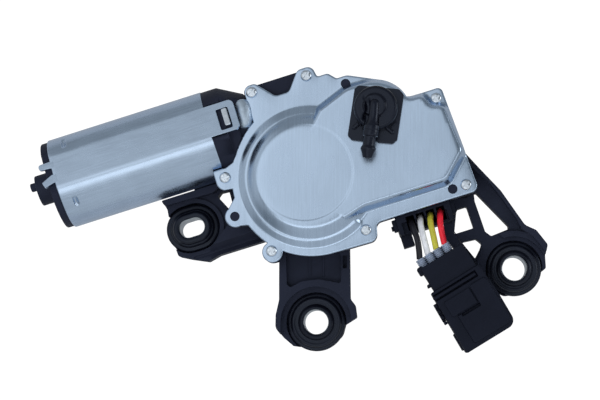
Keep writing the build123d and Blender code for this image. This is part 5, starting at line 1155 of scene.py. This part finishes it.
# ---------------------------------------------------------------- operators
class WIPER_OT_stage(bpy.types.Operator):
    """Camera, floor, world and soft lamps"""

    bl_idname = "wiper_motor.stage"
    bl_label = "Stage"

    def execute(self, context):
        scene = context.scene
        scene.view_settings.view_transform = "Standard"
        sizes = scene.wiper_sizes
        back = Vector(VIEW_BACK).normalized()
        up = Vector(along(90 - VIEW_ROLL, 1.0)).to_3d()
        up = (up - back * up.dot(back)).normalized()
        data = bpy.data.cameras.new("view")
        data.sensor_width = 36
        data.lens = sizes.lens
        data.clip_start, data.clip_end = 0.01, 20
        camera = bpy.data.objects.new("view", data)
        turn = Matrix((up.cross(back), up, back)).transposed().to_4x4()
        camera.matrix_world = Matrix.Translation((*VIEW_FROM, sizes.view_distance)) @ turn
        scene.collection.objects.link(camera)
        scene.camera = camera

        floor_mesh = bpy.data.meshes.new("floor")
        floor_mesh.from_pydata([(*corner, CAD_BOX[0].z - FLOOR_GAP) for corner in FLOOR], [], [(0, 1, 2, 3)])
        floor = bpy.data.objects.new("floor", floor_mesh)
        scene.collection.objects.link(floor)
        floor.data.materials.append(self.paper())
        self.sky(scene)
        self.lamp("overhead", (-0.25, -0.35, 1.3), (1.0, 0.8), 4.4)
        self.lamp("upper left", (-0.80, 0.60, 0.9), (0.6, 0.6), 2.0)
        self.lamp("right", (0.95, -0.30, 0.55), (0.5, 0.5), 1.4)
        return {"FINISHED"}

    def lamp(self, name, place, size, power):
        """A soft rectangular lamp that faces the part and isn't seen itself."""
        data = bpy.data.lights.new(name, "AREA")
        data.shape = "RECTANGLE"
        data.size, data.size_y = size
        data.energy = power
        made = bpy.data.objects.new(name, data)
        made.location = place
        made.rotation_euler = (Vector((-0.05, -0.03, 0.03)) - Vector(place)).to_track_quat("-Z", "Y").to_euler()
        made.visible_camera = False
        made.visible_glossy = False
        bpy.context.scene.collection.objects.link(made)

    def paper(self):
        """Pale paper: seen as plain white with a soft shadow, seen dimmer in gloss, and lit as grey paper."""
        made = bpy.data.materials.new("paper")
        made.use_nodes = True
        made.node_tree.nodes.clear()
        w = Wiring(made.node_tree)
        ray = w.put("ShaderNodeLightPath").outputs
        gloss = w.worked("ADD", ray["Is Glossy Ray"], ray["Is Transmission Ray"])
        seen = w.worked("MULTIPLY", ray["Is Camera Ray"], PAPER_SEEN)
        white = w.worked("MULTIPLY_ADD", gloss, PAPER_IN_GLOSS, seen)
        lit = w.put("ShaderNodeBsdfDiffuse", Color=PAPER_GREY)
        glow = w.put("ShaderNodeEmission", Strength=PAPER_WHITE)
        w.link(w.mixed(white, lit.outputs[0], glow.outputs[0]), w.put("ShaderNodeOutputMaterial").inputs[0])
        return made

    def sky(self, scene):
        """A grey room with soft boxes round the part and a narrow lit band over it, seen by the camera as white."""
        world = bpy.data.worlds.new("room")
        scene.world = world
        world.use_nodes = True
        w = Wiring(world.node_tree)
        where = w.put("ShaderNodeTexCoord").outputs["Generated"]

        def facing(direction):
            """How far a ray points in a direction."""
            node = w.put("ShaderNodeVectorMath", operation="DOT_PRODUCT")
            node.inputs[1].default_value = Vector(direction).normalized()
            w.link(where, node.inputs[0])
            return node.outputs["Value"]

        def level(value, start, end, strength):
            """A smooth rise of a value between two edges to a strength."""
            return w.between(value, 0.0, strength, start, end, "SMOOTHSTEP")

        boxes = [level(facing(direction), math.cos(math.radians(outer)), math.cos(math.radians(inner)), strength)
                 for direction, inner, outer, strength in SOFT_BOXES]
        tilt = math.radians(KEY_TILT)
        band = level(w.worked("ABSOLUTE", facing((0, math.cos(tilt), math.sin(tilt)))), KEY_EDGE, 0.02, KEY_STRENGTH)
        ends = level(w.worked("ABSOLUTE", facing((1, 0, 0))), 0.75, 0.35, 1.0)
        total = boxes[0]
        for box in boxes[1:] + [w.worked("MULTIPLY", band, ends)]:
            total = w.worked("ADD", total, box)
        room = w.put("ShaderNodeBackground", Color=ROOM_BLUE, Strength=ROOM_LEVEL)
        light = w.put("ShaderNodeBackground", Color=BOX_WHITE)
        white = w.put("ShaderNodeBackground", Color=(1, 1, 1, 1), Strength=1.0)
        both = w.put("ShaderNodeAddShader")
        w.link(total, light.inputs["Strength"])
        w.link(room.outputs[0], both.inputs[0])
        w.link(light.outputs[0], both.inputs[1])
        seen = w.put("ShaderNodeLightPath").outputs["Is Camera Ray"]
        w.link(w.mixed(seen, both.outputs[0], white.outputs[0]), w.tree.nodes["World Output"].inputs[0])


class WIPER_OT_cover(bpy.types.Operator):
    """Stamped sheet steel cover and its seven screws"""

    bl_idname = "wiper_motor.cover"
    bl_label = "Cover and screws"

    def execute(self, context):
        cover_sheet(finish("zinc_plate"))
        places = [((x, y, FLANGE_TOP), (0, 0, 20 + 37 * k)) for k, (x, y) in enumerate(SCREWS)]
        repeated("cover_screw_set", screw_head(), places, finish("screw_zinc"),
                 stands_for=["cover_screws"], spread=25, seed=4)
        return {"FINISHED"}


class WIPER_OT_housing(bpy.types.Operator):
    """Moulded housing with its neck, nose and three arms"""

    bl_idname = "wiper_motor.housing"
    bl_label = "Housing and arms"

    def execute(self, context):
        gusset = slab([(-93.4, -9.5), (-78.0, -9.5), (-78.0, -2.5), (-91.0, -2.5)], 3.2, 7.4)
        for node, more in (("gear_housing", []), ("arm_left", [gusset]), ("arm_lower", []), ("arm_right", [])):
            piece(node + "_skin", [from_node(node)] + more, finish("black_moulding"),
                  stands_for=[node])
        return {"FINISHED"}


class WIPER_OT_mounts(bpy.types.Operator):
    """Rubber grommets and steel sleeves in the three arms"""

    bl_idname = "wiper_motor.mounts"
    bl_label = "Grommets and sleeves"

    def execute(self, context):
        for side in EYES:
            piece(f"grommet_{side}_rubber", [grommet_form(side)], finish("rubber"),
                  stands_for=[f"grommet_{side}"])
            piece(f"sleeve_{side}_tube", [sleeve_form(side)], finish("bright_steel"),
                  stands_for=[f"sleeve_{side}"])
        return {"FINISHED"}


class WIPER_OT_motor(bpy.types.Operator):
    """Motor can with its tongue and tabs, the end cap, the hook and the earth spring"""

    bl_idname = "wiper_motor.motor"
    bl_label = "Motor can and cap"

    def execute(self, context):
        piece("can_shell", [can_shell(), can_tongue()] + can_tabs(), finish("can_steel"),
              stands_for=["motor_can"], sharp=50)
        piece("end_cap_skin", [softened(from_node("end_cap"), 0.5, 3)], finish("black_moulding"),
              stands_for=["end_cap"])
        hook = from_node("can_hook")
        middle = (min(v.co.x for v in hook.verts) + max(v.co.x for v in hook.verts)) / 2
        for v in hook.verts:
            v.co.x = middle + (v.co.x - middle) * 1.3
        piece("hook_bar", [softened(hook, 0.3, 3)], finish("screw_zinc"), stands_for=["can_hook"])
        dome = turned([(-6.8, 0), (-6.7, 1.2), (-6.2, 2.4), (-5.0, 3.3), (-2.5, 3.9), (0, 4.1), (2.5, 3.9), (5.0, 3.3),
                       (6.2, 2.4), (6.7, 1.2), (6.8, 0)], (-58.0, 18.4, 34.0), (0.18, 0.98, 0), 48)
        piece("earth_spring", [dome], finish("spring_steel"), stands_for=["ground_strap"])
        return {"FINISHED"}


class WIPER_OT_elbow(bpy.types.Operator):
    """Washer elbow on the cover"""

    bl_idname = "wiper_motor.elbow"
    bl_label = "Washer elbow"

    def execute(self, context):
        piece("washer_elbow", elbow_parts(), finish("black_gloss"), stands_for=["washer_inlet"])
        return {"FINISHED"}


class WIPER_OT_wiring(bpy.types.Operator):
    """Terminal socket, four leads, their seals and the plug"""

    bl_idname = "wiper_motor.wiring"
    bl_label = "Wiring and plug"

    def execute(self, context):
        piece("socket_skin", [softened(from_node("terminal_socket"), 0.2)], finish("plug_moulding"),
              stands_for=["terminal_socket"])
        shelf = slab(rounded([(-3.4, -10.4, 0.8), (0.4, -10.8, 0), (0.4, 6.4, 0), (-3.4, 6.0, 0.8)]), -3.1, -1.9,
                     place=plug_frame(PLUG_Z))
        plug = piece("plug_skin", [plug_body(), shelf] + plug_details(), finish("plug_moulding"),
                     stands_for=["plug_housing"])
        slide = slab(rounded([(14.1, -13.3, 0.5), (15.6, -13.3, 0.5), (15.6, 9.0, 0.5), (14.1, 9.0, 0.5)]), 3.5, 6.2,
                     place=plug_frame(PLUG_Z))
        lock = piece("plug_slide", [softened(slide, 0.35, 3)], finish("plug_moulding"),
                     stands_for=["plug_lock"])
        for colour, (k, bow, middle, crest) in LEADS.items():
            made, path, length = lead(f"lead_{colour}", WIRE_CELLS[k], WIRE_SEATS[k], bow, middle, crest,
                                      f"wire_{colour}")
            place = (*plug_point(-4.0, WIRE_SEATS[k]), PLUG_Z)
            seal = repeated(f"seal_{colour}", seal_form(), [(place, (0, 0, PLUG_HEADING))], finish("seal_grey"),
                            stands_for=["wire_seals"])
            tuple(path[0])
            [tuple(p) for p in path]
            max(0.03, length)
        return {"FINISHED"}


class WIPER_OT_inner(bpy.types.Operator):
    """Finishes for the shaft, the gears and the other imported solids"""

    bl_idname = "wiper_motor.inner"
    bl_label = "Inner parts"

    def execute(self, context):
        piece("output_shaft_turned", [shaft_form()], finish("shaft_steel"), body="output",
              stands_for=["output_shaft"], sharp=30)
        slots = {s["node"]: s["material_slot"] for s in frame["record"]["subparts"]}
        for node, made in frame["nodes"].items():
            if not made.hide_render:
                made.data.materials.clear()
                made.data.materials.append(finish(slots[node]))
        return {"FINISHED"}


class WIPER_PT_panel(bpy.types.Panel):
    """The operators and sizes in the sidebar"""

    bl_label = "Wiper motor"
    bl_idname = "WIPER_PT_panel"
    bl_space_type = "VIEW_3D"
    bl_region_type = "UI"
    bl_category = "Wiper motor"

    def draw(self, context):
        column = self.layout.column()
        for step in STEPS:
            column.operator(step.bl_idname)
        for group in (context.scene.wiper_sizes, context.scene.wiper_colours):
            for name in group.__annotations__:
                column.prop(group, name)


STEPS = (WIPER_OT_stage, WIPER_OT_cover, WIPER_OT_housing, WIPER_OT_mounts, WIPER_OT_motor, WIPER_OT_elbow,
         WIPER_OT_wiring, WIPER_OT_inner)
CLASSES = (MotorSizes, MotorColours) + STEPS + (WIPER_PT_panel,)


def register():
    for part in CLASSES:
        bpy.utils.register_class(part)
    bpy.types.Scene.wiper_sizes = PointerProperty(type=MotorSizes)
    bpy.types.Scene.wiper_colours = PointerProperty(type=MotorColours)


def unregister():
    del bpy.types.Scene.wiper_colours
    del bpy.types.Scene.wiper_sizes
    for part in reversed(CLASSES):
        bpy.utils.unregister_class(part)


def main():
    """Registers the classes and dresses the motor."""
    register()
    for step in STEPS:
        group, name = step.bl_idname.split(".")
        getattr(getattr(bpy.ops, group), name)()


if __name__ == "__main__":
    main()
